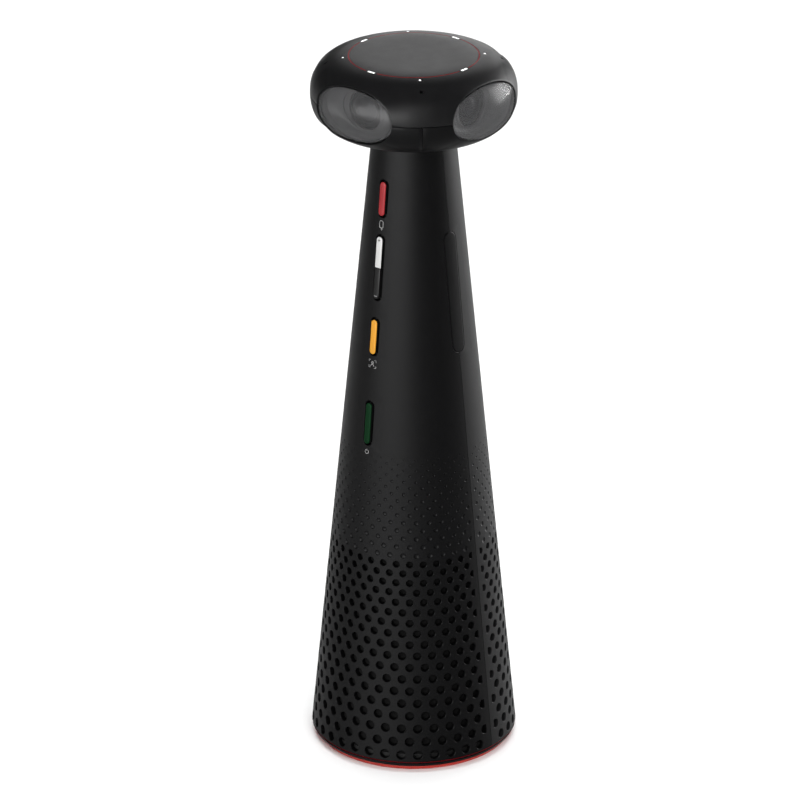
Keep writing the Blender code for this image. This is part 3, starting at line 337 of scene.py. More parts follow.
def makeLensGlass():
    material, tree, shader = newMaterial("lensGlass", (0.010, 0.010, 0.012), 0.06, 0.0, 0.85, 0.06)
    shader.inputs["Coat Weight"].default_value = 0.12
    shader.inputs["Coat Roughness"].default_value = 0.02
    shader.inputs["Coat Tint"].default_value = (0.85, 0.9, 1.0, 1.0)
    addGrain(tree, shader, 1500.0, 0.005, None, (0.03, 0.06))
    return material


finish = makeFinishes()
slotOf = {part["node"]: part["material_slot"] for part in frame["record"]["subparts"]}
for node, obj in frame["nodes"].items():
    obj.data.materials.clear()
    obj.data.materials.append(finish[slotOf[node]])
print("finishes: made and put on the frame's nodes")

grille = {
    "columns": 38,                # hole positions round the column in one row
    "firstRow": 8.07 * mm,
    "rowPitch": 6.1845 * mm,
    "rowShrink": 0.06293 * mm,    # each row stands this much closer than the one below
    "holeRows": 18,
    "pitRows": 15,
    "holeDiameter": (4.17 * mm, 2.95 * mm),
    "pitDiameter": (2.45 * mm, 0.85 * mm),
    "pitDepth": (0.42 * mm, 0.16 * mm),
    "seamLand": 2.6 * mm,         # solid land beside the seam, which cuts the last holes flat
    "plainPitch": 1.6 * mm,       # height of the rows above the grille
}
keySlots = {                      # ends of each slot below the neck joint
    "width": 5.0 * mm,
    "margin": 1.7 * mm,           # from a slot to the rows of the wall above and below it
    "support": 0.6 * mm,          # from an outline to the ring of points that holds the wall flat
    "red": (14.25 * mm, 31.15 * mm),
    "volume": (38.55 * mm, 68.15 * mm),
    "yellow": (75.65 * mm, 92.95 * mm),
    "green": (113.25 * mm, 133.55 * mm),
}
sidePanel = {
    "width": 7.0 * mm,
    "ends": (37.85 * mm, 91.95 * mm),
    "margin": 2.6 * mm,
    "gap": 0.16 * mm,
    "edge": 0.16 * mm,
    "chamfer": 0.12 * mm,
    "round": 0.6 * mm,            # from the side to the outline where the face is full height
}
bay = {"width": 30.6 * mm, "height": 11.6 * mm, "centre": 20.0 * mm, "corner": 1.2 * mm}
halfCount = grille["columns"] // 2


def edgeAngle(z, lean):
    # azimuth of the parting plane, seen from the middle of a shell
    offset = column["seamOffset"] + column["seamLean"] * z
    return math.pi / 2 - lean * np.arcsin(offset / coneRadius(z))


def shellAngle(k, z, lean):
    # azimuth of lattice column k, which leans with the parting plane
    return k / halfCount * edgeAngle(z, lean)


def shellPoints(k, z, lean, low, high):
    # outer and inner coordinates of lattice points, with the outer ones drawn in from free edges
    k, z = np.broadcast_arrays(np.asarray(k, float), np.asarray(z, float))
    angle = shellAngle(k, z, lean)
    rim = np.abs(k) > halfCount - 0.01
    radius = coneRadius(z)
    inner = np.stack([angle - np.sign(k) * rim * column["seamGap"] / 2 / radius, z], -1)
    outer = inner.copy()
    outer[..., 0] -= np.sign(k) * rim * column["edge"] / radius
    outer[..., 1] += column["edge"] * ((z < low + 1e-7).astype(float) - (z > high - 1e-7).astype(float))
    return outer, inner


def rowHeights(count):
    j = np.arange(count)
    return grille["firstRow"] + grille["rowPitch"] * j - grille["rowShrink"] * j * (j - 1)


def addCells(sheet, row, centres, heights, bounds, lean, low, high):
    # one row of lattice cells: a square ring of 24 points round each hole or pit
    rows = grille["holeRows"]
    isHole = row < rows
    below, above = bounds
    side = np.arange(6) / 6
    kLoop = np.concatenate([-1 + 2 * side, np.ones(6), 1 - 2 * side, -np.ones(6)])
    zLoop = np.concatenate([np.zeros(6), side, np.ones(6), 1 - side])
    k = centres[:, None] + kLoop
    z = np.broadcast_to(below + (above - below) * zLoop, k.shape)
    loop = addPoints(sheet, *shellPoints(k, z, lean, low, high))
    turn = -0.75 * math.pi + 2 * math.pi * np.arange(24) / 24
    share = row / (rows - 1) if isHole else (row - rows) / (grille["pitRows"] - 1)
    sizes = grille["holeDiameter"] if isHole else grille["pitDiameter"]
    radius = (sizes[0] + (sizes[1] - sizes[0]) * share) / 2
    middle = heights[row]
    around = coneRadius(middle)
    spacing = edgeAngle(middle, lean) / halfCount
    land = grille["seamLand"] if isHole else 0.0
    limit = (halfCount - np.abs(centres)) * spacing * around - land

    def ring(size, grow):
        across = size * np.cos(turn) * np.ones((len(centres), 1))
        sign = np.sign(centres)[:, None]
        across = np.where(sign == 0, across, sign * np.minimum(sign * across, (limit + grow)[:, None]))
        angle = spacing * centres[:, None] + across / around
        return np.stack([angle, np.broadcast_to(middle + size * np.sin(turn), angle.shape)], -1)

    if isHole:
        rim = addPoints(sheet, ring(radius + column["edge"], column["edge"]), ring(radius, 0.0))
        addFaces(sheet, between(loop, rim))
        return
    depth = grille["pitDepth"][0] + (grille["pitDepth"][1] - grille["pitDepth"][0]) * share
    rings = [loop]
    for size, down in ((1.0, 0.0), (0.8, 0.62), (0.45, 0.95)):
        rings.append(addPoints(sheet, ring(radius * size, 0.0), depth=depth * down))
    for first, second in zip(rings, rings[1:]):
        addFaces(sheet, between(first, second), back=False)
    floor = addPoints(sheet, ring(0.0, 0.0)[:, :1], depth=depth)
    following = np.roll(rings[-1], -1, 1)
    hub = np.broadcast_to(floor, following.shape)
    addFaces(sheet, np.stack([rings[-1], following, hub, hub], -1).reshape(-1, 4), back=False)
    sheet["back"].append(loop)


def addBlank(sheet, k, z, lean, low, high):
    # a plain patch of wall between lattice columns
    index = addPoints(sheet, *shellPoints(k[None, :], z[:, None], lean, low, high))
    addFaces(sheet, gridFaces(index))


def makeShell(lean, openings, withBay):
    # a conical wall, x = R(z) sin a and y = -R(z) cos a, cut by lattice holes and rounded outlines
    sheet = newSheet()
    low, high = columnBottom, neckJoint
    count = grille["holeRows"] + grille["pitRows"]
    heights = rowHeights(count + 1)
    bounds = np.concatenate([[low], (heights[1:] + heights[:-1]) / 2])
    third = np.arange(4) / 3
    bayRows = (1, 2, 3) if withBay else ()
    for row in range(count):
        odd = row % 2
        centres = np.arange(-halfCount + 2 - odd, halfCount - 1 + odd, 2).astype(float)
        levels = np.linspace(bounds[row], bounds[row + 1], 7)
        if not odd:               # solid half cells beside the seam
            for k in (-halfCount + third, halfCount - 1 + third):
                addBlank(sheet, k, levels, lean, low, high)
        if row in bayRows:
            centres = centres[np.abs(centres) > 4.5 + (1 - odd)]
            if not odd:
                for k in (-6 + third, 5 + third):
                    addBlank(sheet, k, levels, lean, low, high)
        addCells(sheet, row, centres, heights, (bounds[row], bounds[row + 1]), lean, low, high)
    if withBay:
        addBay(sheet, lean, bounds[1], bounds[4], low, high)
    addPlain(sheet, lean, bounds[count], low, high, openings)
    return sheet


def addBay(sheet, lean, floor, ceiling, low, high):
    # the connector bay's opening takes the place of three rows of cells
    side = np.arange(-15, 15) / 3
    k = np.concatenate([side, np.full(18, 5.0), -side, np.full(18, -5.0)])
    rise = np.arange(18) / 18
    z = floor + (ceiling - floor) * np.concatenate([np.zeros(30), rise, np.ones(30), 1 - rise])
    loop = addPoints(sheet, *shellPoints(k, z, lean, low, high))
    flat = np.stack([coneRadius(z) * np.sin(shellAngle(k, z, lean)), z], -1)
    core = (bay["width"] / 2 - bay["corner"], bay["height"] / 2 - bay["corner"])
    rings = []
    for grow in (column["edge"], 0.0):
        outline = aroundCore(flat, np.array([0.0, bay["centre"]]), core, bay["corner"] + grow)
        angle = np.arcsin(outline[:, 0] / coneRadius(outline[:, 1]))
        rings.append(np.stack([angle, outline[:, 1]], -1))
    addFaces(sheet, between(loop, addPoints(sheet, rings[0], rings[1])))


def addPlain(sheet, lean, start, low, high, openings):
    # the smooth wall above the grille, in rows of quads, with blocks left out round each outline
    margin = keySlots["margin"]
    blocks = [(-3.0, 3.0, high - lower - margin, high - upper + margin) for upper, lower in openings]
    slotCount = len(blocks)
    upper, lower = sidePanel["ends"]
    base, top = high - lower - sidePanel["margin"], high - upper + sidePanel["margin"]
    blocks.append((halfCount - 4.0, float(halfCount), base, top))
    blocks.append((-float(halfCount), -halfCount + 4.0, base, top))
    stops = sorted({start, high, *[b[2] for b in blocks], *[b[3] for b in blocks]})
    levels = subdivided(stops, [grille["plainPitch"]] * len(stops))
    k = np.arange(-3 * halfCount, 3 * halfCount + 1) / 3
    index = addPoints(sheet, *shellPoints(k[None, :], levels[:, None], lean, low, high))
    quads = gridFaces(index).reshape(len(levels) - 1, len(k) - 1, 4)
    addFaces(sheet, quads[outsideBlocks(levels, k, blocks)])
    for n, (left, right, base, top) in enumerate(blocks):
        columns, rows = within(k, left, right, 0.01), within(levels, base, top, 1e-6)
        if n < slotCount:
            addSlot(sheet, index, k, levels, columns, rows, lean, (base + margin, top - margin))
        else:
            addNotch(sheet, index, k, levels, columns, rows, lean, np.sign(left + right))


def addSlot(sheet, index, k, levels, columns, rows, lean, ends):
    # an obround opening for a key, inside its block
    path = np.array([(rows[0], c) for c in columns[:-1]] + [(r, columns[-1]) for r in rows[:-1]]
                    + [(rows[-1], c) for c in columns[:0:-1]] + [(r, columns[0]) for r in rows[:0:-1]])
    loop = index[path[:, 0], path[:, 1]]
    z = levels[path[:, 0]]
    flat = np.stack([coneRadius(z) * np.sin(shellAngle(k[path[:, 1]], z, lean)), z], -1)
    radius = keySlots["width"] / 2
    centre = np.array([0.0, sum(ends) / 2])
    core = (0.0, (ends[1] - ends[0]) / 2 - radius)
    rings = []
    for grow in (keySlots["support"], column["edge"], 0.0):
        outline = aroundCore(flat, centre, core, radius + grow)
        x, z = outline.T
        rings.append(np.stack([np.arcsin(x / coneRadius(z)), z], -1))
    support = addPoints(sheet, rings[0])
    rim = addPoints(sheet, rings[1], rings[2])
    addFaces(sheet, between(loop, support))
    addFaces(sheet, between(support, rim))


def addNotch(sheet, index, k, levels, columns, rows, lean, side):
    # half of the side panel's outline, on the parting plane
    near, far = (columns[-1], columns[0]) if side > 0 else (columns[0], columns[-1])
    step = -1 if side > 0 else 1
    across = np.arange(near, far + step, step)
    path = np.array([(rows[0], c) for c in across] + [(r, far) for r in rows[1:-1]]
                    + [(rows[-1], c) for c in across[::-1]])
    loop = index[path[:, 0], path[:, 1]]
    z = levels[path[:, 0]]
    inward = (edgeAngle(z, lean) - np.abs(shellAngle(k[path[:, 1]], z, lean))) * coneRadius(z)
    flat = np.stack([inward, z], -1)
    radius = sidePanel["width"] / 2 + sidePanel["gap"]
    upper, lower = (neckJoint - end for end in sidePanel["ends"])
    centre = np.array([0.0, (upper + lower) / 2])
    core = (0.0, (upper - lower) / 2 - sidePanel["width"] / 2)
    rings = []
    for grow in (keySlots["support"], column["edge"], 0.0):
        outline = aroundCore(flat, centre, core, radius + grow)
        least = column["seamGap"] / 2 + (column["edge"] if grow else 0.0)
        distance = np.maximum(outline[:, 0], least)
        angle = side * (edgeAngle(outline[:, 1], lean) - distance / coneRadius(outline[:, 1]))
        rings.append(np.stack([angle, outline[:, 1]], -1))
    inner = rings[0].copy()
    for end in (0, -1):
        height = rings[0][end, 1]
        inner[end, 0] = side * (edgeAngle(height, lean) - column["seamGap"] / 2 / coneRadius(height))
    support = addPoints(sheet, rings[0], inner)
    rim = addPoints(sheet, rings[1], rings[2])
    for first, second in ((loop, support), (support, rim)):
        addFaces(sheet, along(first, second) if side < 0 else along(first, second)[:, ::-1])


def onColumn(middle):
    def surface(uv, depth):
        radius = coneRadius(uv[:, 1]) - depth
        angle = uv[:, 0] + middle
        return np.stack([radius * np.sin(angle), -radius * np.cos(angle), uv[:, 1]], -1)
    return surface


slots = [keySlots[key] for key in ("red", "volume", "yellow", "green")]
for name, lean, middle, openings, withBay, node, plastic in (
        ("frontShellSkin", 1, 0.0, slots, False, "front_shell", "shell_black"),
        ("rearShellSkin", -1, math.pi, [], True, "rear_shell", "rear_black")):
    sheet = makeShell(lean, openings, withBay)
    points, faces = closeSheet(sheet, onColumn(middle), column["wall"], column["edge"])
    makePiece(name, points, faces, "shell_black", finish[plastic], [node], sharp=30)
    print(name, len(points), "points", len(faces), "faces")


def placeKeys(points):
    # whole numbers that are the same for points at one place
    return np.floor(points * 1e7 + 0.137).astype(np.int64)


def weld(points, faces):
    # one vertex for each place, and no face left with fewer than three of them
    points = np.asarray(points, float).reshape(-1, 3)
    first, index = np.unique(placeKeys(points), axis=0, return_index=True, return_inverse=True)[1:]
    return points[first], tidyFaces(index.reshape(-1)[faces])


def rounded(corners, cut, steps=3):
    # each corner of a closed outline becomes a short parabola that starts and ends a cut away
    corners = np.asarray(corners, float)
    cut = np.broadcast_to(cut, len(corners))[:, None]
    before = np.roll(corners, 1, 0) - corners
    after = np.roll(corners, -1, 0) - corners
    start = corners + before / np.linalg.norm(before, axis=1, keepdims=True) * cut
    end = corners + after / np.linalg.norm(after, axis=1, keepdims=True) * cut
    t = (np.arange(steps + 1) / steps)[:, None, None]
    curve = (1 - t) ** 2 * start + 2 * t * (1 - t) * corners + t ** 2 * end
    return curve.transpose(1, 0, 2).reshape(-1, 2)


def turned(profile, steps):
    # a closed (r, z) outline, anticlockwise, carried once round the Z axis
    profile = np.asarray(profile, float)
    angle = 2 * math.pi * np.arange(steps) / steps
    r, z = profile[:, 0], profile[:, 1]
    points = np.stack([np.outer(np.cos(angle), r), np.outer(np.sin(angle), r),
                       np.broadcast_to(z, (steps, len(z)))], -1)
    index = np.arange(steps * len(z)).reshape(steps, len(z))
    nextRow = np.roll(index, -1, 0)
    faces = np.stack([index, nextRow, np.roll(nextRow, -1, 1), np.roll(index, -1, 1)], -1)
    return weld(points, faces.reshape(-1, 4))


def pointedOut(points, azimuth, height):
    # +Z of the piece turned to look outwards at an azimuth measured from -Y towards +X
    points = np.asarray(points)
    x, y, z = points.T
    across = x * math.cos(azimuth) + z * math.sin(azimuth)
    along = x * math.sin(azimuth) - z * math.cos(azimuth)
    return np.stack([across, along, y + height], 1)


def lofted(rings, capped=True):
    # closed rings of points, each followed by the next; the ends are closed with one face each
    rings = np.asarray(rings, float)
    count, size = rings.shape[:2]
    index = np.arange(count * size).reshape(count, size)
    faces = between(index[:-1], index[1:])
    points, faces = weld(rings.reshape(-1, 3), faces)
    if capped:
        number = {tuple(key): i for i, key in enumerate(placeKeys(points).tolist())}
        for ring, turn in ((rings[0], -1), (rings[-1], 1)):
            cap = [number[tuple(key)] for key in placeKeys(ring).tolist()]
            cap = [v for i, v in enumerate(cap) if v != cap[i - 1]][::turn]
            if len(set(cap)) > 2:
                faces.append(cap)
    return points, faces


def joined(pieces):
    # several point and face lists as one
    points, faces, start = [], [], 0
    for somePoints, someFaces in pieces:
        points.append(np.asarray(somePoints))
        faces += [[v + start for v in face] for face in someFaces]
        start += len(somePoints)
    return np.concatenate(points), faces


def rectangle(halfWidth, halfHeight, cut, steps=3):
    # a rounded rectangle about the origin
    corners = [(-halfWidth, -halfHeight), (halfWidth, -halfHeight),
               (halfWidth, halfHeight), (-halfWidth, halfHeight)]
    return rounded(corners, cut, steps)


def headProfile():
    # Crown and belly are (|r - f| / a)^n + (|z - e| / b)^m = 1 arcs about the equator, down to a
    # fillet and the neck. r, z and the outward normal are given against the distance from the pole.
    flat, reach = head["flat"], head["radius"] - head["flat"]
    n, m = head["crownPowers"]
    t = np.linspace(0, 1, 400) ** 1.5 * math.pi / 2
    crownR = flat + reach * np.sin(t) ** (2 / n)
    crownZ = equator + head["rise"] * np.cos(t) ** (2 / m)
    n, m = head["bellyPowers"]
    t = np.linspace(0, 1, 500)[1:] ** 1.5 * math.pi / 2
    bellyR = flat + reach * np.cos(t) ** (2 / n)
    bellyZ = equator - head["drop"] * np.sin(t) ** (2 / m)
    neck = coneRadius(neckJoint)
    fillet = head["neckFillet"]
    keep = bellyR > neck + fillet
    bellyR, bellyZ = bellyR[keep], bellyZ[keep]
    t = np.linspace(0, math.pi / 2, 20)[1:]
    filletR = neck + fillet * (1 - np.sin(t))
    filletZ = bellyZ[-1] - fillet * (1 - np.cos(t))
    foot = neckJoint + 0.3 * mm
    r = np.concatenate([[0.0], crownR, bellyR, filletR, [neck]])
    z = np.concatenate([[equator + head["rise"]], crownZ, bellyZ, filletZ, [foot]])
    run = np.concatenate([[0.0], np.cumsum(np.hypot(np.diff(r), np.diff(z)))])
    keep = np.concatenate([[True], np.diff(run) > 1e-7])
    r, z, run = r[keep], z[keep], run[keep]
    even = np.linspace(0, run[-1], 1600)
    r, z = np.interp(even, run, r), np.interp(even, run, z)
    slopeR, slopeZ = np.gradient(r), np.gradient(z)
    size = np.hypot(slopeR, slopeZ)
    return even, r, z, -slopeZ / size, slopeR / size


headRun, headR, headZ, headNr, headNz = headProfile()
headRun.setflags(write=False)


def runAtHeight(z):
    # distance along the profile, from the pole, at a height or at a radius of the crown
    return np.interp(-np.asarray(z), -headZ, headRun)


def runAtRadius(r):
    crown = headZ > equator
    return np.interp(r, headR[crown], headRun[crown])


def onHead(uv, depth, turn=0.0):
    # azimuth and run to a point, a depth below the head's surface
    r, z, nr, nz = (np.interp(uv[:, 1], headRun, row) for row in (headR, headZ, headNr, headNz))
    r, z = r - depth * nr, z - depth * nz
    angle = uv[:, 0] + turn
    return np.stack([r * np.sin(angle), -r * np.cos(angle), z], -1)


window = {
    "halfWidth": 20.6 * mm,
    "halfHeight": 11.9 * mm,
    "power": 2.25,
    "inset": 0.4 * mm,            # glass below the head's surface
    "gap": 0.42 * mm,             # dark line round the glass
    "thickness": 1.4 * mm,
    "edge": 0.3 * mm,
    "block": math.radians(36),    # half width of the patch that holds the opening
    "above": 1.4 * mm,            # from the opening to the patch's upper and lower edges
    "below": 1.3 * mm,
    "support": 0.5 * mm,
    "chamfer": 0.22 * mm,
}
mouth = {
    "trimRadius": 27.7 * mm,
    "trimHalf": 0.2 * mm,
    "barLength": 3.5 * mm,
    "barHalf": 0.42 * mm,
    "break": 6.0 * mm,
    "gap": 0.07 * mm,
    "dotRadius": 0.5 * mm,
    "dotDistance": 30.1 * mm,
    "micSize": (1.4 * mm, 1.6 * mm),
    "micDistance": 37.5 * mm,
    "micCorner": 0.35 * mm,
    "dotGap": 0.05 * mm,
    "dotPatch": 1.3 * mm,         # half height of the patch of cover round each hole
    "micPatch": 1.7 * mm,
    "holeSpan": math.radians(3),
    "chamfer": 0.08 * mm,
    "trimDepth": 1.6 * mm,
    "barDepth": 3.0 * mm,
    "barLift": 0.03 * mm,
    "guideRadii": (26.6 * mm, 31.0 * mm),       # the white ring behind the crown
    "guideHeights": (313.6 * mm, 314.9 * mm),
}
quarter = math.pi / 2


def windowRim(theta, grow):
    # size at a polar angle of the widened window, |x / a|^n + |z / b|^n = 1 about the lens height
    power = window["power"]
    across = np.abs(np.cos(theta) / (window["halfWidth"] + grow))
    up = np.abs(np.sin(theta) / (window["halfHeight"] + grow))
    return (across ** power + up ** power) ** (-1 / power)


def windowPoint(uv, grow):
    # the point of a window's rim in line with a point of the patch, in azimuth and run
    r = np.interp(uv[:, 1], headRun, headR)
    z = np.interp(uv[:, 1], headRun, headZ)
    x = r * np.sin(uv[:, 0])
    theta = np.arctan2((z - lensHeight) / window["halfHeight"], x / window["halfWidth"])
    theta = np.arctan2(np.sin(theta) * window["halfHeight"], np.cos(theta) * window["halfWidth"])
    size = windowRim(theta, grow)
    return size * np.cos(theta), lensHeight + size * np.sin(theta)


def onWindowRim(x, z):
    run = runAtHeight(z)
    return np.stack([np.arcsin(x / np.interp(run, headRun, headR)), run], -1)


def windowLoft(sheet, path, loop, centre, seam, side):
    # from the patch's three sides to the part of the window's rim above or below the covers' joint
    local = path.copy()
    local[:, 0] -= centre
    rings = []
    for grow in (window["support"], column["edge"], 0.0):
        x, z = windowPoint(local, grow)
        at = seam + side * (column["edge"] if grow else 0.0)
        z = np.maximum(z, at) if side > 0 else np.minimum(z, at)
        for end in (0, -1):
            x[end] = np.sign(local[end, 0]) * (window["halfWidth"] + grow) * (
                1 - np.abs((at - lensHeight) / (window["halfHeight"] + grow)) ** window["power"]
            ) ** (1 / window["power"])
            z[end] = at
        rim = onWindowRim(x, z)
        rim[:, 0] += centre
        rings.append(rim)
    inner = rings[0].copy()
    inner[[0, -1], 1] = runAtHeight(np.array([seam, seam]))
    support = addPoints(sheet, rings[0], inner)
    rim = addPoints(sheet, rings[1], rings[2])
    addFaces(sheet, along(loop, support))
    addFaces(sheet, along(support, rim))


def headSheet(alphas, runs, centres, windowRuns, seam, side, rims, cells=()):
    # a grid in azimuth and run along the profile, with patches left out for windows and holes.
    # rims draw the free edges of the outer skin in by the chamfer
    sheet = newSheet()
    runs = np.asarray(runs)
    inner = np.stack(np.meshgrid(alphas, runs), -1)
    outer = inner.copy()
    chamfer = column["edge"]
    radius = np.interp(runs, headRun, headR)
    outer[0, :, 1] += rims["start"]
    outer[-1, :, 1] -= rims["end"]
    if "sides" in rims:
        outer[:, 0, 0] += chamfer / radius
        outer[:, -1, 0] -= chamfer / radius
    if "mouth" in rims:
        outer[0, :, 1] += rims["mouth"]
        inner[0, :, 1] += rims["mouth"]
    index = addPoints(sheet, outer, inner)
    blocks = [(c - window["block"], c + window["block"], *windowRuns) for c in centres]
    keep = outsideBlocks(runs, alphas, blocks + [cell[:4] for cell in cells])
    # runs go down the head while azimuth goes round, so the faces are turned over
    addFaces(sheet, gridFaces(index).reshape(len(runs) - 1, len(alphas) - 1, 4)[keep][:, ::-1])
    tiny = 1e-7
    for centre, (left, right, low, high) in zip(centres, blocks):
        columns, rows = within(alphas, left, right, tiny), within(runs, low, high, tiny)
        if side > 0:              # the patch is open downwards, at the joint
            path = ([(r, columns[0]) for r in rows[::-1]] + [(rows[0], c) for c in columns[1:-1]]
                    + [(r, columns[-1]) for r in rows])
        else:
            path = ([(r, columns[-1]) for r in rows] + [(rows[-1], c) for c in columns[-2:0:-1]]
                    + [(r, columns[0]) for r in rows[::-1]])
        place = tuple(np.array(path)[::-1].T)
        windowLoft(sheet, inner[place], index[place], centre, seam, side)
    for left, right, low, high, shape in cells:
        columns, rows = within(alphas, left, right, tiny), within(runs, low, high, tiny)
        path = ([(rows[-1], c) for c in columns[:-1]] + [(r, columns[-1]) for r in rows[:0:-1]]
                + [(rows[0], c) for c in columns[:0:-1]] + [(r, columns[0]) for r in rows[:-1]])
        place = tuple(np.array(path).T)
        holeLoft(sheet, inner[place], index[place], (left + right) / 2, shape)
    return sheet


def holeLoft(sheet, path, loop, azimuth, shape):
    # a round or obround hole through the crown: its run from the pole, its core and its radius
    run, core, size = shape
    radius = float(np.interp(run, headRun, headR))
    flat = np.stack([(path[:, 0] - azimuth) * radius, -(path[:, 1] - run)], -1)
    rings = []
    for grow in (column["edge"], 0.0):
        outline = aroundCore(flat, np.zeros(2), core, size + grow)
        rings.append(np.stack([azimuth + outline[:, 0] / radius, run - outline[:, 1]], -1))
    addFaces(sheet, between(loop, addPoints(sheet, rings[0], rings[1])))


def mouthWidening(alphas, cut):
    # how far an edge on the trim's circle is drawn back beside each light bar
    near = np.abs((alphas + quarter / 2) % quarter - quarter / 2) * mouth["trimRadius"]
    return np.where(near < mouth["barLength"] / 2 + mouth["gap"], cut, 0.0)


def headAzimuths(low, high):
    # columns every three degrees, and closer where the edges move back beside a light bar
    degrees = np.arange(low, high + 0.1, 3.0)
    slip = 0.08                   # degrees over which an edge moves back
    edge = math.degrees((mouth["barLength"] / 2 + mouth["gap"]) / mouth["trimRadius"])
    breaks = math.degrees(mouth["break"] / 2 / mouth["trimRadius"])
    for c in range(-360, 361, 90):
        for off in (-breaks, -edge - slip, -edge + slip, edge - slip, edge + slip, breaks):
            if low < c + off < high:
                degrees = np.append(degrees, c + off)
    return np.radians(np.unique(np.round(degrees, 6)))


def makeTopCover():
    alphas = headAzimuths(-45.0, 315.0)
    start = float(runAtRadius(mouth["trimRadius"] + mouth["trimHalf"] + mouth["gap"]))
    seam = coverSeam + head["jointHalf"]
    end = float(runAtHeight(seam))
    top = float(runAtHeight(lensHeight + window["halfHeight"] + window["above"]))
    dot = float(runAtRadius(mouth["dotDistance"]))
    mic = float(runAtRadius(mouth["micDistance"]))
    dotEnds, micEnds = ((run - patch, run + patch) for run, patch in
                        ((dot, mouth["dotPatch"]), (mic, mouth["micPatch"])))
    stops = sorted([start, *dotEnds, *micEnds, top, end])
    runs = subdivided(stops, head["pitch"][:1] * len(stops))
    width, length = mouth["micSize"]
    corner = mouth["micCorner"]
    cells = []
    for i in range(4):
        sides = [math.radians(45 + 90 * i) + off for off in (-mouth["holeSpan"], mouth["holeSpan"])]
        cells.append((*sides, *dotEnds, (dot, (0.0, 0.0), mouth["dotRadius"] + mouth["dotGap"])))
        cells.append((*sides, *micEnds, (mic, (width / 2 - corner, length / 2 - corner), corner)))
    widening = mouthWidening(alphas, mouth["barHalf"] - mouth["trimHalf"])
    sheet = headSheet(alphas, runs, [quarter * i for i in range(4)], (top, end + 1e-6), seam, 1,
                      {"start": mouth["chamfer"], "end": head["chamfer"], "mouth": widening}, cells)
    # the first and last columns are one and the same
    for key in ("outer", "inner"):
        for block in sheet[key]:
            block[:, 0] = (block[:, 0] + quarter / 2 + 1e-9) % (2 * math.pi) - quarter / 2 - 1e-9
    points, faces = closeSheet(sheet, onHead, head["wall"], head["chamfer"])
    makePiece("crownCover", points, faces, "shell_black", finish["crown_grey"], ["top_cover"])


def makeLowerCover(name, node, turn):
    alphas = np.radians(np.arange(-135.0, 45.1, 3.0))
    gap = head["jointHalf"] / head["radius"]
    alphas[0] += gap
    alphas[-1] -= gap
    seam = coverSeam - head["jointHalf"]
    start = float(runAtHeight(seam))
    low = float(runAtHeight(lensHeight - window["halfHeight"] - window["below"]))
    end = float(headRun[-1])
    belly = slice(900, None)      # rows of the profile where the radius only falls
    fillet = float(np.interp(-coneRadius(neckJoint) - head["neckFillet"], -headR[belly], headRun[belly]))
    runs = subdivided([start, low, fillet, end], head["pitch"])
    sheet = headSheet(alphas, runs, [-quarter, 0.0], (start - 1e-6, low), seam, -1,
                      {"start": head["chamfer"], "end": head["chamfer"], "sides": True})
    points, faces = closeSheet(sheet, lambda uv, depth: onHead(uv, depth, turn), head["wall"],
                               head["chamfer"])
    makePiece(name, points, faces, "shell_black", finish["shell_black"], [node])


makeTopCover()
makeLowerCover("bellyCoverFront", "lower_cover_front", 0.0)
makeLowerCover("bellyCoverBack", "lower_cover_back", math.pi)


def makeCrown():
    # the plate inside the trim: rings of the crown's surface, its edge notched beside the light bars
    alphas = headAzimuths(-45.0, 314.9)
    edge = float(runAtRadius(mouth["trimRadius"] - mouth["trimHalf"] - mouth["gap"]))
    widening = mouthWidening(alphas, mouth["barHalf"] - mouth["trimHalf"])
    runs = np.concatenate([np.linspace(0, edge - 0.9 * mm, 18), [edge]])
    inner = np.stack(np.meshgrid(alphas, runs), -1)
    inner[-1, :, 1] -= widening
    inner[0, :, 0] = 0.0
    outer = inner.copy()
    outer[-1, :, 1] -= mouth["chamfer"]
    sheet = newSheet()
    index = addPoints(sheet, outer, inner)
    following = np.roll(index, -1, 1)
    quads = np.stack([index[1:], following[1:], following[:-1], index[:-1]], -1)
    addFaces(sheet, quads.reshape(-1, 4))
    points, faces = closeSheet(sheet, onHead, head["plate"], mouth["chamfer"])
    makePiece("crownPlate", points, faces, "crown_grey", finish["crown_grey"], ["top_plate"])


def arcBar(start, end, half, wall, lift, count):
    # a bar of the crown's surface along the trim's circle, between two azimuths
    middle = float(runAtRadius(mouth["trimRadius"]))
    alphas = np.linspace(start, end, count)
    offsets = np.array([half, half * 0.4, -half * 0.4, -half])
    inner = np.stack(np.meshgrid(alphas, middle + offsets), -1)
    outer = inner.copy()
    rim = 0.05 * mm
    outer[0, :, 1] -= rim
    outer[-1, :, 1] += rim
    outer[:, 0, 0] += rim / mouth["trimRadius"]
    outer[:, -1, 0] -= rim / mouth["trimRadius"]
    sheet = newSheet()
    addFaces(sheet, gridFaces(addPoints(sheet, outer, inner)))
    return closeSheet(sheet, lambda uv, depth: onHead(uv, depth - lift), wall, rim)


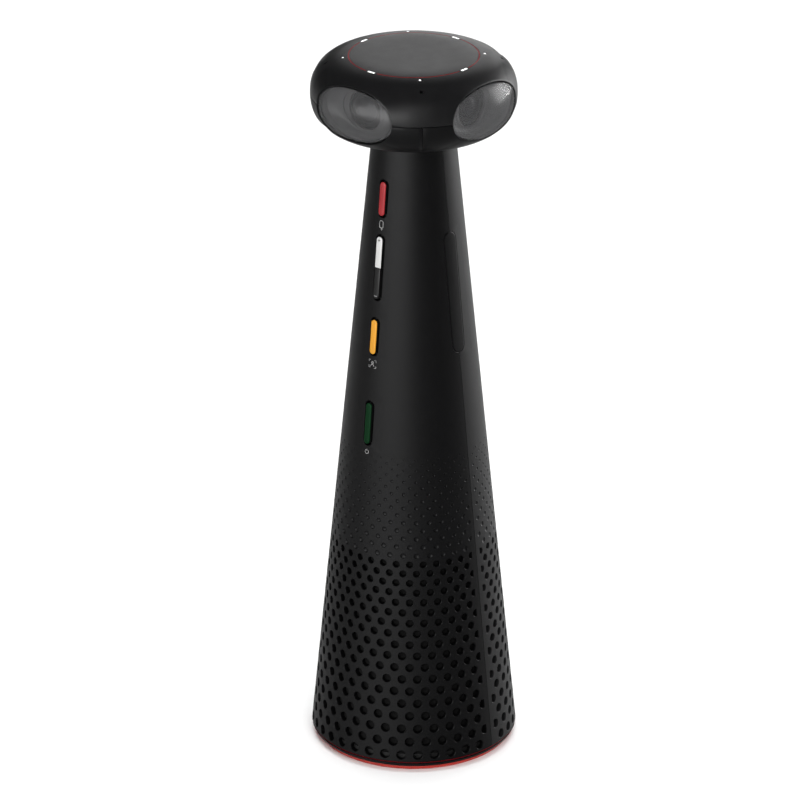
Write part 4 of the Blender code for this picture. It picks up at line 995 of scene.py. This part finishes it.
def makeTrim():
    half, depth = mouth["trimHalf"], mouth["trimDepth"]
    gap = mouth["break"] / 2 / mouth["trimRadius"]
    bar = mouth["barLength"] / 2 / mouth["trimRadius"]
    space = mouth["gap"] / mouth["trimRadius"]
    red, black, white = [], [], []
    for i in range(4):
        middle = quarter * i
        red.append(arcBar(middle + gap, middle + quarter - gap, half, depth, 0.0, 30))
        for side in (-1, 1):
            ends = sorted((middle + side * (gap - space), middle + side * (bar + space)))
            black.append(arcBar(*ends, half + mouth["gap"] * 0.6, depth, 0.0, 4))
        white.append(arcBar(middle - bar, middle + bar, mouth["barHalf"], mouth["barDepth"],
                            mouth["barLift"], 10))
    makePiece("trimRingRed", *joined(red), "trim_red", finish["trim_red"], ["trim_ring"])
    makePiece("trimBreaks", *joined(black), "crown_grey", finish["crown_grey"])
    run = float(runAtRadius(mouth["dotDistance"]))
    turn = 2 * math.pi * np.arange(20) / 20
    # shares of a dot's radius, with millimetres above the crown
    dotProfile = ((0.0, 0.06), (0.6, 0.05), (0.9, 0.02), (1.0, -0.06), (1.0, -2.4), (0.0, -2.4))
    for i in range(4):
        rings = []
        for size, lift in dotProfile:
            r = mouth["dotRadius"] * size
            uv = np.stack([math.radians(45 + 90 * i) + r * np.cos(turn) / mouth["dotDistance"],
                           run - r * np.sin(turn)], -1)
            rings.append(onHead(uv, -lift * mm))
        white.append(lofted(rings[::-1], capped=False))
    # the ring behind the crown that lights them all
    (near, far), (low, high) = mouth["guideRadii"], mouth["guideHeights"]
    guide = rounded([(near, low), (far, low), (far, high), (near, high)], 0.2 * mm)
    white.append(turned(guide, 96))
    makePiece("lightGuide", *joined(white), "light_white", finish["light_white"], ["light_guide"])


makeCrown()
makeTrim()
print("head: covers, crown plate, trim and lights made")

# windows, dishes and lenses
dish = {
    "rimDepth": 34.6 * mm,        # from the column's axis
    "rimInset": 0.9 * mm,
    "behindSurface": 2.15 * mm,   # the wall's front edge below the head's surface
    "floorDepth": 31.6 * mm,
    "throat": 8.75 * mm,
    "wall": 1.2 * mm,
    "steps": 56,
    # the steps in the floor: shares of the way to the throat, with millimetres above the floor
    "ledges": ((0.72, 0.5), (0.73, 0.12), (0.86, 0.12), (0.87, 0.35),
               (0.98, 0.35), (1.0, 0.25), (1.0, -0.9), (0.80, -0.9)),
}
lens = {
    "front": 31.2 * mm,
    "collar": 8.5 * mm,
    "barrel": 6.4 * mm,
    "glass": 5.6 * mm,
    "bead": 1.05 * mm,
    "back": 15.3 * mm,
    "boardHalf": 8.4 * mm,
    "curve": 9.0 * mm,            # radius of the glass's dome
    "rise": 0.35 * mm,            # the dome's top before the collar's front
    # radii with depths behind the front, in millimetres, from the collar's lip down its mouth
    "steps": ((7.3, 0.0), (7.15, 0.35), (6.75, 0.35), (6.6, 0.05),
              (5.9, 0.05), (5.7, 0.4), (5.7, 2.6), (0.0, 2.6)),
}
sides = {"front": 0.0, "right": quarter, "back": math.pi, "left": -quarter}


def makeWindow(name, node, azimuth):
    # glass on the head's surface, drawn as ever smaller superellipses about the lens height
    theta = 2 * math.pi * (np.arange(96) + 0.5) / 96
    sizes = np.array([1.0, 0.985, 0.95, 0.88, 0.76, 0.6, 0.42, 0.22, 0.0])[:, None]

    def rings(grow):
        size = windowRim(theta, grow)
        return np.stack([sizes * size * np.cos(theta), lensHeight + sizes * size * np.sin(theta)], -1)

    inner = rings(-window["gap"])
    outer = inner.copy()
    outer[:3] = rings(-window["gap"] - window["edge"])[:3]
    sheet = newSheet()
    index = addPoints(sheet, outer, inner)
    addFaces(sheet, between(index[:-1], index[1:]))

    def surface(xz, depth):
        run = runAtHeight(xz[:, 1])
        radius = np.interp(run, headRun, headR)
        angle = np.arcsin(xz[:, 0] / radius)
        return onHead(np.stack([angle, run], -1), depth + window["inset"], azimuth)

    points, faces = closeSheet(sheet, surface, window["thickness"], window["chamfer"])
    makePiece(name, points, faces, "smoked_glass", finish["smoked_glass"], [node], sharp=30)


def makeDish(name, node, azimuth):
    # a dish between the window's outline and the lens, as blends of superellipse and circle
    theta = 2 * math.pi * (np.arange(dish["steps"] * 2) + 0.5) / (dish["steps"] * 2)
    rim, throat = windowRim(theta, -dish["rimInset"]), dish["throat"]

    def ring(share, depth):
        size = rim + (throat - rim) * share
        return np.stack([size * np.cos(theta), size * np.sin(theta), np.full(len(theta), depth)], -1)

    def skirt(share):
        # the dish's wall runs forward until just behind the glass, square to the head's surface
        edge = ring(share, 0.0)
        run = runAtHeight(lensHeight + edge[:, 1])
        radius, slant = np.interp(run, headRun, headR), np.interp(run, headRun, headNr)
        edge[:, 2] = np.sqrt((radius - dish["behindSurface"] / slant) ** 2 - edge[:, 0] ** 2)
        return edge

    high, low = dish["rimDepth"], dish["floorDepth"]
    rings = [ring(0.0, high - dish["wall"]), skirt(0.0), skirt(0.07), ring(0.10, high)]
    shares = 0.10 + 0.58 * np.arange(1, 9) / 8
    fall = np.sin(np.arange(1, 9) / 8 * quarter) ** 0.9
    rings += [ring(s, high - (high - low - 0.5 * mm) * f) for s, f in zip(shares, fall)]
    rings += [ring(share, low + lift * mm) for share, lift in dish["ledges"]]
    rings = np.asarray(rings)
    count, size = rings.shape[:2]
    index = np.arange(count * size).reshape(count, size)
    faces = between(index, np.roll(index, -1, 0))
    points, faces = weld(pointedOut(rings.reshape(-1, 3), azimuth, lensHeight), faces)
    makePiece(name, points, faces, "shroud_grey", finish["shroud_grey"], [node], sharp=30)


def makeLens(side, azimuth):
    # barrel with stepped collars, and a domed glass with a bead in its middle
    front = lens["front"]
    profile = [(0.0, lens["back"]), (lens["barrel"], lens["back"]), (lens["barrel"], front - 7.0 * mm),
               (lens["collar"], front - 6.4 * mm), (lens["collar"], front - 0.3 * mm),
               (lens["collar"] - 0.35 * mm, front)]
    profile += [(r * mm, front - depth * mm) for r, depth in lens["steps"]]
    half = lens["boardHalf"]
    plate = rectangle(half, half, 1.0 * mm)
    depths = (lens["back"] - 0.5 * mm, lens["back"] + 0.6 * mm)
    board = lofted([np.column_stack([plate, np.full(len(plate), d)]) for d in depths])
    points, faces = joined([turned(profile, 72), board])
    points = pointedOut(points, azimuth, lensHeight)
    makePiece("lensBarrel_" + side, points, faces, "inner_plastic", finish["inner_plastic"],
              ["lens_module_" + side], sharp=30)
    radius, curve = lens["glass"], lens["curve"]
    r = radius * np.arange(13) / 12
    dome = np.sqrt(curve ** 2 - r ** 2) - curve + front + lens["rise"]
    profile = [(0.0, front - 2.3 * mm), (radius, front - 2.3 * mm)]
    profile += list(zip(r[:2:-1], dome[:2:-1]))
    # the middle swells like the first element of a wide lens
    turn = np.radians(np.linspace(62, 0, 9))
    bead = lens["bead"]
    profile += list(zip(bead * np.sin(turn), dome[2] + bead * (np.cos(turn) - math.cos(turn[0]))))
    points, faces = turned(profile, 72)
    points = pointedOut(points, azimuth, lensHeight)
    makePiece("lensGlass_" + side, points, faces, "lens_glass", finish["lens_glass"],
              ["lens_glass_" + side], sharp=50)


for side, azimuth in sides.items():
    makeWindow("cameraWindow_" + side, "camera_window_" + side, azimuth)
    makeDish("lensDish_" + side, "lens_shroud_" + side, azimuth)
    makeLens(side, azimuth)
print("windows, dishes and lenses made")

# keys
keys = {
    "gap": 1.0 * mm,
    "proud": 0.8 * mm,
    "edge": 0.28 * mm,
    "flange": 0.7 * mm,
    "flangeDepth": (2.65 * mm, 3.65 * mm),
    "nubEnd": 5.2 * mm,
    "crown": 0.12 * mm,           # the cap's face rises this much in its middle
    "capDepth": 0.42 * mm,        # thickness of the coloured part
    "faceInset": 1.2 * mm,        # from the cap's side to the outline of its highest part
    "stemInset": 0.03 * mm,
    "stemGap": 0.02 * mm,
    "nub": 1.0 * mm,              # radius of the peg that meets the switch
    "joint": 0.06 * mm,           # half the gap between the volume caps
    "carrier": 1.05 * mm,         # depth of the rocker's carrier, behind the volume caps
    "signFromTop": 2.45 * mm,
    "signFromEnd": 2.25 * mm,
    "signArm": (0.72 * mm, 0.12 * mm),          # half its length and half its width
    "signRise": 0.13 * mm,
}
slope = math.atan(column["taper"])


def onKeyFace(xdz):
    # across, depth behind the wall and distance down the slope from the neck joint's front point
    x, depth, down = np.moveaxis(np.asarray(xdz, float), -1, 0)
    y = -coneRadius(neckJoint) - math.sin(slope) * down + math.cos(slope) * depth
    z = neckJoint - math.cos(slope) * down - math.sin(slope) * depth
    return np.stack([x, y, z], -1)


def obroundRing(radius, length, middle, count=12):
    # two half circles joined by straight sides, anticlockwise from outside; down is the second value
    turn = math.pi * np.arange(count + 1) / count
    arc = np.stack([np.cos(turn), np.sin(turn)], -1) * radius
    half = length / 2 - radius
    top = arc * (1, -1) + (0, middle - half)
    bottom = arc * (-1, 1) + (0, middle + half)
    return np.concatenate([top, bottom])


def keySolid(levels):
    # levels are outlines (across, down) with their depths, from the front face to the back
    rings = []
    for ring, depth in levels:
        rings.append(onKeyFace(np.stack([ring[:, 0], np.full(len(ring), depth), ring[:, 1]], -1)))
    return lofted(rings[::-1])


def capProfile():
    # how far a cap's outlines are drawn in, with their depths, from the crowned face to the back
    edge, front, crown = keys["edge"], -keys["proud"], keys["crown"]
    return ((keys["faceInset"], front - crown * 0.6), (edge * 2, front - crown * 0.3), (edge, front),
            (edge * 0.3, front + edge * 0.3), (0.0, front + edge), (0.0, front + keys["capDepth"]))


def makeKey(colour):
    # a coloured cap on a black stem, with the flange behind the wall and the nub for its switch. The stem's
    # black is partly the key's real black base and partly painted shade on the cap's sides in the slot
    start, end = (value / math.cos(slope) for value in keySlots[colour])
    middle, length = (start + end) / 2, end - start
    radius, long = keySlots["width"] / 2 - keys["gap"], length - 2 * keys["gap"]
    cap = [(obroundRing(radius - cut, long - 2 * cut, middle), depth) for cut, depth in capProfile()]
    low, high = keys["flangeDepth"]
    inset, seat = keys["stemInset"], -keys["proud"] + keys["capDepth"] + keys["stemGap"]
    stem = obroundRing(radius - inset, long - 2 * inset, middle)
    wide = obroundRing(keySlots["width"] / 2 + keys["flange"], length + 2 * keys["flange"], middle)
    nub = aroundCore(wide, np.array([0.0, middle]), (0.0, 0.0), keys["nub"])
    body = [(stem, seat), (stem, low), (wide, low), (wide, high), (nub, high), (nub, keys["nubEnd"])]
    for end, levels, look, replaced in (("Cap", cap, colour + "_key_plastic", [colour + "_key"]),
                                        ("Stem", body, "black_key_plastic", ())):
        makePiece(colour + "Key" + end, *keySolid(levels), look, finish[look], replaced,
                  colour + "_key_body", sharp=35)


def makeVolumeCap(name, sign, slot, node):
    # half an obround each way from the middle of the rocker, with a narrow joint between them
    start, end = (value / math.cos(slope) for value in keySlots["volume"])
    middle, half = (start + end) / 2, (end - start) / 2 - keys["gap"]
    radius = keySlots["width"] / 2 - keys["gap"]
    inset, seat = keys["stemInset"], -keys["proud"] + keys["capDepth"] + keys["stemGap"]
    # the stem's black is partly the rocker's real black base and partly painted shade on the caps' sides in
    # the slot
    stem = ((inset, seat), (inset, keys["carrier"]))
    for end, levels, look, replaced in (("Cap", capProfile(), slot, [node]),
                                        ("Stem", stem, "black_key_plastic", ())):
        rings = []
        for cut, depth in levels:
            ring = obroundRing(radius - cut, 2 * (half - cut), middle)
            joint = middle + sign * (keys["joint"] + min(cut, keys["edge"]))
            ring[:, 1] = np.maximum(ring[:, 1], joint) if sign > 0 else np.minimum(ring[:, 1], joint)
            rings.append((ring, depth))
        makePiece(name + end, *keySolid(rings), look, finish[look], replaced, "volume_rocker", sharp=35)


def makeSign(name, plus, middle, slot, look):
    # a raised plus or minus on a volume cap
    arm, thin = keys["signArm"]
    top = -keys["proud"] - keys["signRise"]
    pieces = []
    for n, (across, down) in enumerate([(arm, thin), (thin, arm)][:1 + plus]):
        corners = [(across, middle - down), (-across, middle - down),
                   (-across, middle + down), (across, middle + down)]
        outline = rounded(corners, 0.05 * mm)
        # the second arm starts a little lower, so that no two faces lie in one plane
        pieces.append(keySolid([(outline, top + 0.01 * mm * n), (outline, top + 0.3 * mm)]))
    makePiece(name, *joined(pieces), slot, finish[look], (), "volume_rocker")


for colour in ("red", "yellow", "green"):
    makeKey(colour)
makeVolumeCap("volumeUp", -1, "white_key_plastic", "volume_up_cap")
makeVolumeCap("volumeDown", 1, "black_key_plastic", "volume_down_cap")
top, bottom = (value / math.cos(slope) for value in keySlots["volume"])
makeSign("volumePlus", True, top + keys["signFromTop"], "black_key_plastic", "black_key_plastic")
# the minus is given the printed signs' light grey: a painted highlight along its raised edge
makeSign("volumeMinus", False, bottom - keys["signFromEnd"], "white_key_plastic", "print_grey")
print("keys made")


def makeSidePanel(name, node, azimuth):
    # an obround of the cone's own surface across the parting plane, as shrinking outlines
    radius = sidePanel["width"] / 2
    upper, lower = (neckJoint - end for end in sidePanel["ends"])
    centre = np.array([0.0, (upper + lower) / 2])
    core = (0.0, (upper - lower) / 2 - radius)
    outline = obroundRing(1.0, 2.0 + 2 * core[1] / mm, 0.0, 14) * (1, -1)
    straight = np.linspace(-core[1], core[1], 24)[1:-1] / mm
    right = np.column_stack([np.ones(22), straight])
    path = np.concatenate([right, outline[:15], -right, outline[15:]])
    path = path[np.argsort(np.arctan2(path[:, 1], path[:, 0]))] * mm + centre
    inner, outer = [], []
    for size, cut in ((radius, sidePanel["edge"]), (radius - sidePanel["round"], 0.0),
                      (radius * 0.5, 0.0), (0.0, 0.0)):
        inner.append(aroundCore(path, centre, core, size))
        outer.append(aroundCore(path, centre, core, size - cut))
    sheet = newSheet()
    index = addPoints(sheet, np.array(outer), np.array(inner))
    addFaces(sheet, between(index[:-1], index[1:]))

    def surface(uv, depth):
        z = uv[:, 1]
        r = coneRadius(z)
        seamAngle = math.pi / 2 - np.arcsin((column["seamOffset"] + column["seamLean"] * z) / r)
        angle = np.sign(azimuth) * seamAngle + uv[:, 0] / r
        r = r - depth
        return np.stack([r * np.sin(angle), -r * np.cos(angle), z], -1)

    points, faces = closeSheet(sheet, surface, column["wall"], sidePanel["chamfer"])
    makePiece(name, points, faces, "shell_black", finish["shell_black"], [node])


makeSidePanel("sidePanelLeft", "side_panel_left", -quarter)
makeSidePanel("sidePanelRight", "side_panel_right", quarter)

signs = {
    "lift": 0.02 * mm,
    "thickness": 0.05 * mm,
    "line": 0.2 * mm,
    "drops": (136.3 * mm, 96.5 * mm, 34.3 * mm),    # power, figure and toggle, below the neck joint
}


def strokePath(path, width, closed):
    # a band of constant width along a path, as an outer and an inner edge
    path = np.asarray(path, float)
    if closed:
        ahead, behind = np.roll(path, -1, 0), np.roll(path, 1, 0)
    else:
        ahead, behind = np.vstack([path[1:], path[-1:]]), np.vstack([path[:1], path[:-1]])
    run = ahead - behind
    run /= np.linalg.norm(run, axis=1, keepdims=True)
    normal = np.column_stack([run[:, 1], -run[:, 0]])
    return path + normal * width / 2, path - normal * width / 2


def makeSigns(name, height, strokes):
    # printed bands on the front of the column, in millimetres about a middle height
    pieces = []
    for path, closed in strokes:
        path = np.asarray(path) * mm
        right, left = strokePath(path, signs["line"], closed)
        sheet = newSheet()
        points = np.stack([right, left]) + (0.0, height)
        points[..., 0] /= coneRadius(height)
        index = addPoints(sheet, points)
        if closed:
            addFaces(sheet, between(index[0], index[1]))
        else:
            addFaces(sheet, along(index[0], index[1]))
        lift = signs["lift"]
        pieces.append(closeSheet(sheet, lambda uv, depth: onColumn(0.0)(uv, depth - lift),
                                 signs["thickness"], signs["thickness"] / 2))
    makePiece(name, *joined(pieces), "white_key_plastic", finish["print_grey"])


def arcPath(radius, start, end, count, centre=(0.0, 0.0)):
    turn = np.radians(np.linspace(start, end, count))
    return np.column_stack([centre[0] + radius * np.cos(turn), centre[1] + radius * np.sin(turn)])


power = [(arcPath(0.9, 130, 410, 25), False), ([(0.0, 0.3), (0.0, 1.25)], False)]
bracket = np.array([(1.9, 0.8), (1.9, 1.7), (1.0, 1.7)])
figure = [((bracket * turn)[::-turn[0] * turn[1]], False) for turn in ((-1, 1), (1, 1), (1, -1), (-1, -1))]
figure += [(arcPath(0.48, 0, 345, 24, (0.0, 0.5)), True), (arcPath(0.85, 0, 180, 15, (0.0, -1.1)), False)]
loop = rounded([(-0.95, -1.3), (0.95, -1.3), (0.95, 1.8), (-0.95, 1.8)], 0.7, 5)
toggle = [(loop, True), (arcPath(0.32, 0, 345, 24, (0.25, -1.85)), True)]
for name, drop, strokes in zip(("signPower", "signFramed", "signToggle"), signs["drops"],
                               (power, figure, toggle)):
    makeSigns(name, neckJoint - drop, strokes)
print("side panels and signs made")

# rings, foot and back
foot = {
    "bore": 40.9 * mm,
    # radius of each ring at its top and at its bottom, and how far its corners are cut back
    "base": (45.15 * mm, 44.2 * mm, 0.3 * mm),
    "accent": (44.95 * mm, 44.95 * mm, 0.04 * mm),
    "foot": (43.5 * mm, 42.5 * mm, 0.35 * mm),
    "padRadius": 40.6 * mm,
    "padHeight": 1.6 * mm,
    "padCorner": 0.4 * mm,
    "grooves": (30.0 * mm, 36.0 * mm),
    "grooveDepth": 0.35 * mm,
}
for part, slot in (("base", "shell_black"), ("accent", "trim_red"), ("foot", "foot_red")):
    low, high = (float(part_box(part + "_ring")[k][2]) for k in (0, 1))
    topRadius, lowRadius, cut = foot[part]
    profile = [(foot["bore"], low), (lowRadius, low), (topRadius, high), (foot["bore"], high)]
    points, faces = turned(rounded(profile, cut), 160)
    makePiece(part + "Ring", points, faces, slot, finish[slot], [part + "_ring"], sharp=40)
height, groove = foot["padHeight"], foot["grooveDepth"]
pad = [(0.0, height), (0.0, 0.0)]
for r in foot["grooves"]:
    pad += [(r - 0.5 * mm, 0.0), (r - 0.3 * mm, groove), (r + 0.3 * mm, groove), (r + 0.5 * mm, 0.0)]
pad += [(foot["padRadius"] - foot["padCorner"], 0.0), (foot["padRadius"], foot["padCorner"]),
        (foot["padRadius"], height)]
makePiece("footPad", *turned(pad, 128), "foot_rubber", finish["foot_rubber"], ["foot_pad"], sharp=30)

ports = {
    "offset": 6.5 * mm,
    "height": 20.0 * mm,
    # half width, half height and corner of each outline
    "outer": (4.4 * mm, 1.6 * mm, 1.35 * mm),
    "inner": (4.1 * mm, 1.3 * mm, 1.1 * mm),
    "tongue": (3.3 * mm, 0.35 * mm, 0.15 * mm),
    # depths behind the plate's outer face: the shell's back, lip and floor, then the tongue's ends
    "shellDepths": (5.6 * mm, 0.25 * mm, 5.3 * mm),
    "tongueDepths": (5.25 * mm, 0.9 * mm),
}


def makePorts():
    # two sockets behind the bay's plate: rounded metal shells with a tongue in each
    face = float(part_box("connector_plate")[1][1])
    wide, narrow, slim = (rectangle(*ports[k], 5) for k in ("outer", "inner", "tongue"))
    back, lip, floor = ports["shellDepths"]
    shellLevels = ((wide, back), (wide, lip), (narrow, lip), (narrow, floor))
    tongueLevels = [(slim, depth) for depth in ports["tongueDepths"]]

    def solids(levels):
        made = []
        for x in (-ports["offset"], ports["offset"]):
            made.append(lofted([np.column_stack([x - ring[:, 0], np.full(len(ring), face - depth),
                                                 ports["height"] + ring[:, 1]]) for ring, depth in levels]))
        return joined(made)

    makePiece("portShells", *solids(shellLevels), "steel", finish["steel"])
    makePiece("portTongues", *solids(tongueLevels), "inner_plastic", finish["inner_plastic"])


makePorts()
print("rings, foot and ports made")

# floor, lights and camera
stage = {
    "floorHalf": 9.0,
    "cameraAzimuth": 40.14,
    "cameraElevation": 23.62,
    "cameraDistance": 2.387,
    "cameraTarget": 158.2 * mm,
    "lens": 247.5,
    "shift": -0.0173,
    "lightTarget": 0.16,
    "ambient": 0.15,
}
half = stage["floorHalf"]
floorMesh = bpy.data.meshes.new("floor")
corners = [(-half, -half, 0), (half, -half, 0), (half, half, 0), (-half, half, 0)]
floorMesh.from_pydata(corners, [], [(0, 1, 2, 3)])
floor = bpy.data.objects.new("floor", floorMesh)
bpy.context.scene.collection.objects.link(floor)
floorMaterial, tree, shader = newMaterial("paleFloor", (0.93, 0.93, 0.93), 0.9)
shader.inputs["Specular IOR Level"].default_value = 0.1
floorMesh.materials.append(floorMaterial)


def lookBack(obj, azimuth, elevation, distance, height):
    # stands away from a point of the vertical axis and looks back at it
    a, e = math.radians(azimuth), math.radians(elevation)
    away = np.array([math.sin(a) * math.cos(e), -math.cos(a) * math.cos(e), math.sin(e)])
    obj.location = away * distance + np.array([0, 0, height])
    obj.rotation_euler = (math.pi / 2 - e, 0, a)
    bpy.context.scene.collection.objects.link(obj)


def areaLight(name, azimuth, elevation, distance, size, power, seenBy):
    # seenBy: whether diffuse and whether glossy looks take light from it
    light = bpy.data.lights.new(name, 'AREA')
    light.shape = 'RECTANGLE'
    light.size, light.size_y = size
    light.energy = power
    obj = bpy.data.objects.new(name, light)
    lookBack(obj, azimuth, elevation, distance, stage["lightTarget"])
    obj.visible_diffuse, obj.visible_glossy = seenBy


areaLight("panelLeft", 2, 8, 1.5, (1.7, 0.7), 105, (False, True))
areaLight("panelFront", 52, 30, 1.9, (1.4, 1.0), 30, (True, False))
areaLight("panelRight", 160, 10, 1.7, (1.0, 1.1), 84, (False, True))
areaLight("panelBack", 212, 15, 2.5, (1.1, 0.7), 14, (False, True))
areaLight("panelTop", 220, 80, 2.2, (2.0, 2.0), 66, (True, False))
areaLight("sparkle", 38, 34, 1.5, (0.09, 0.09), 6, (False, True))

world = bpy.data.worlds.new("studio")
bpy.context.scene.world = world
world.use_nodes = True
background = world.node_tree.nodes["Background"]
background.inputs["Color"].default_value = (1.0, 1.0, 1.0, 1.0)
background.inputs["Strength"].default_value = stage["ambient"]

camera = bpy.data.cameras.new("camera")
camera.lens = stage["lens"]
camera.sensor_width = 36.0
camera.shift_x = stage["shift"]
camera.clip_start, camera.clip_end = 0.1, 60.0
cameraObj = bpy.data.objects.new("camera", camera)
lookBack(cameraObj, stage["cameraAzimuth"], stage["cameraElevation"], stage["cameraDistance"],
         stage["cameraTarget"])
bpy.context.scene.camera = cameraObj
bpy.context.scene.view_settings.view_transform = 'Standard'

print("stage ready")
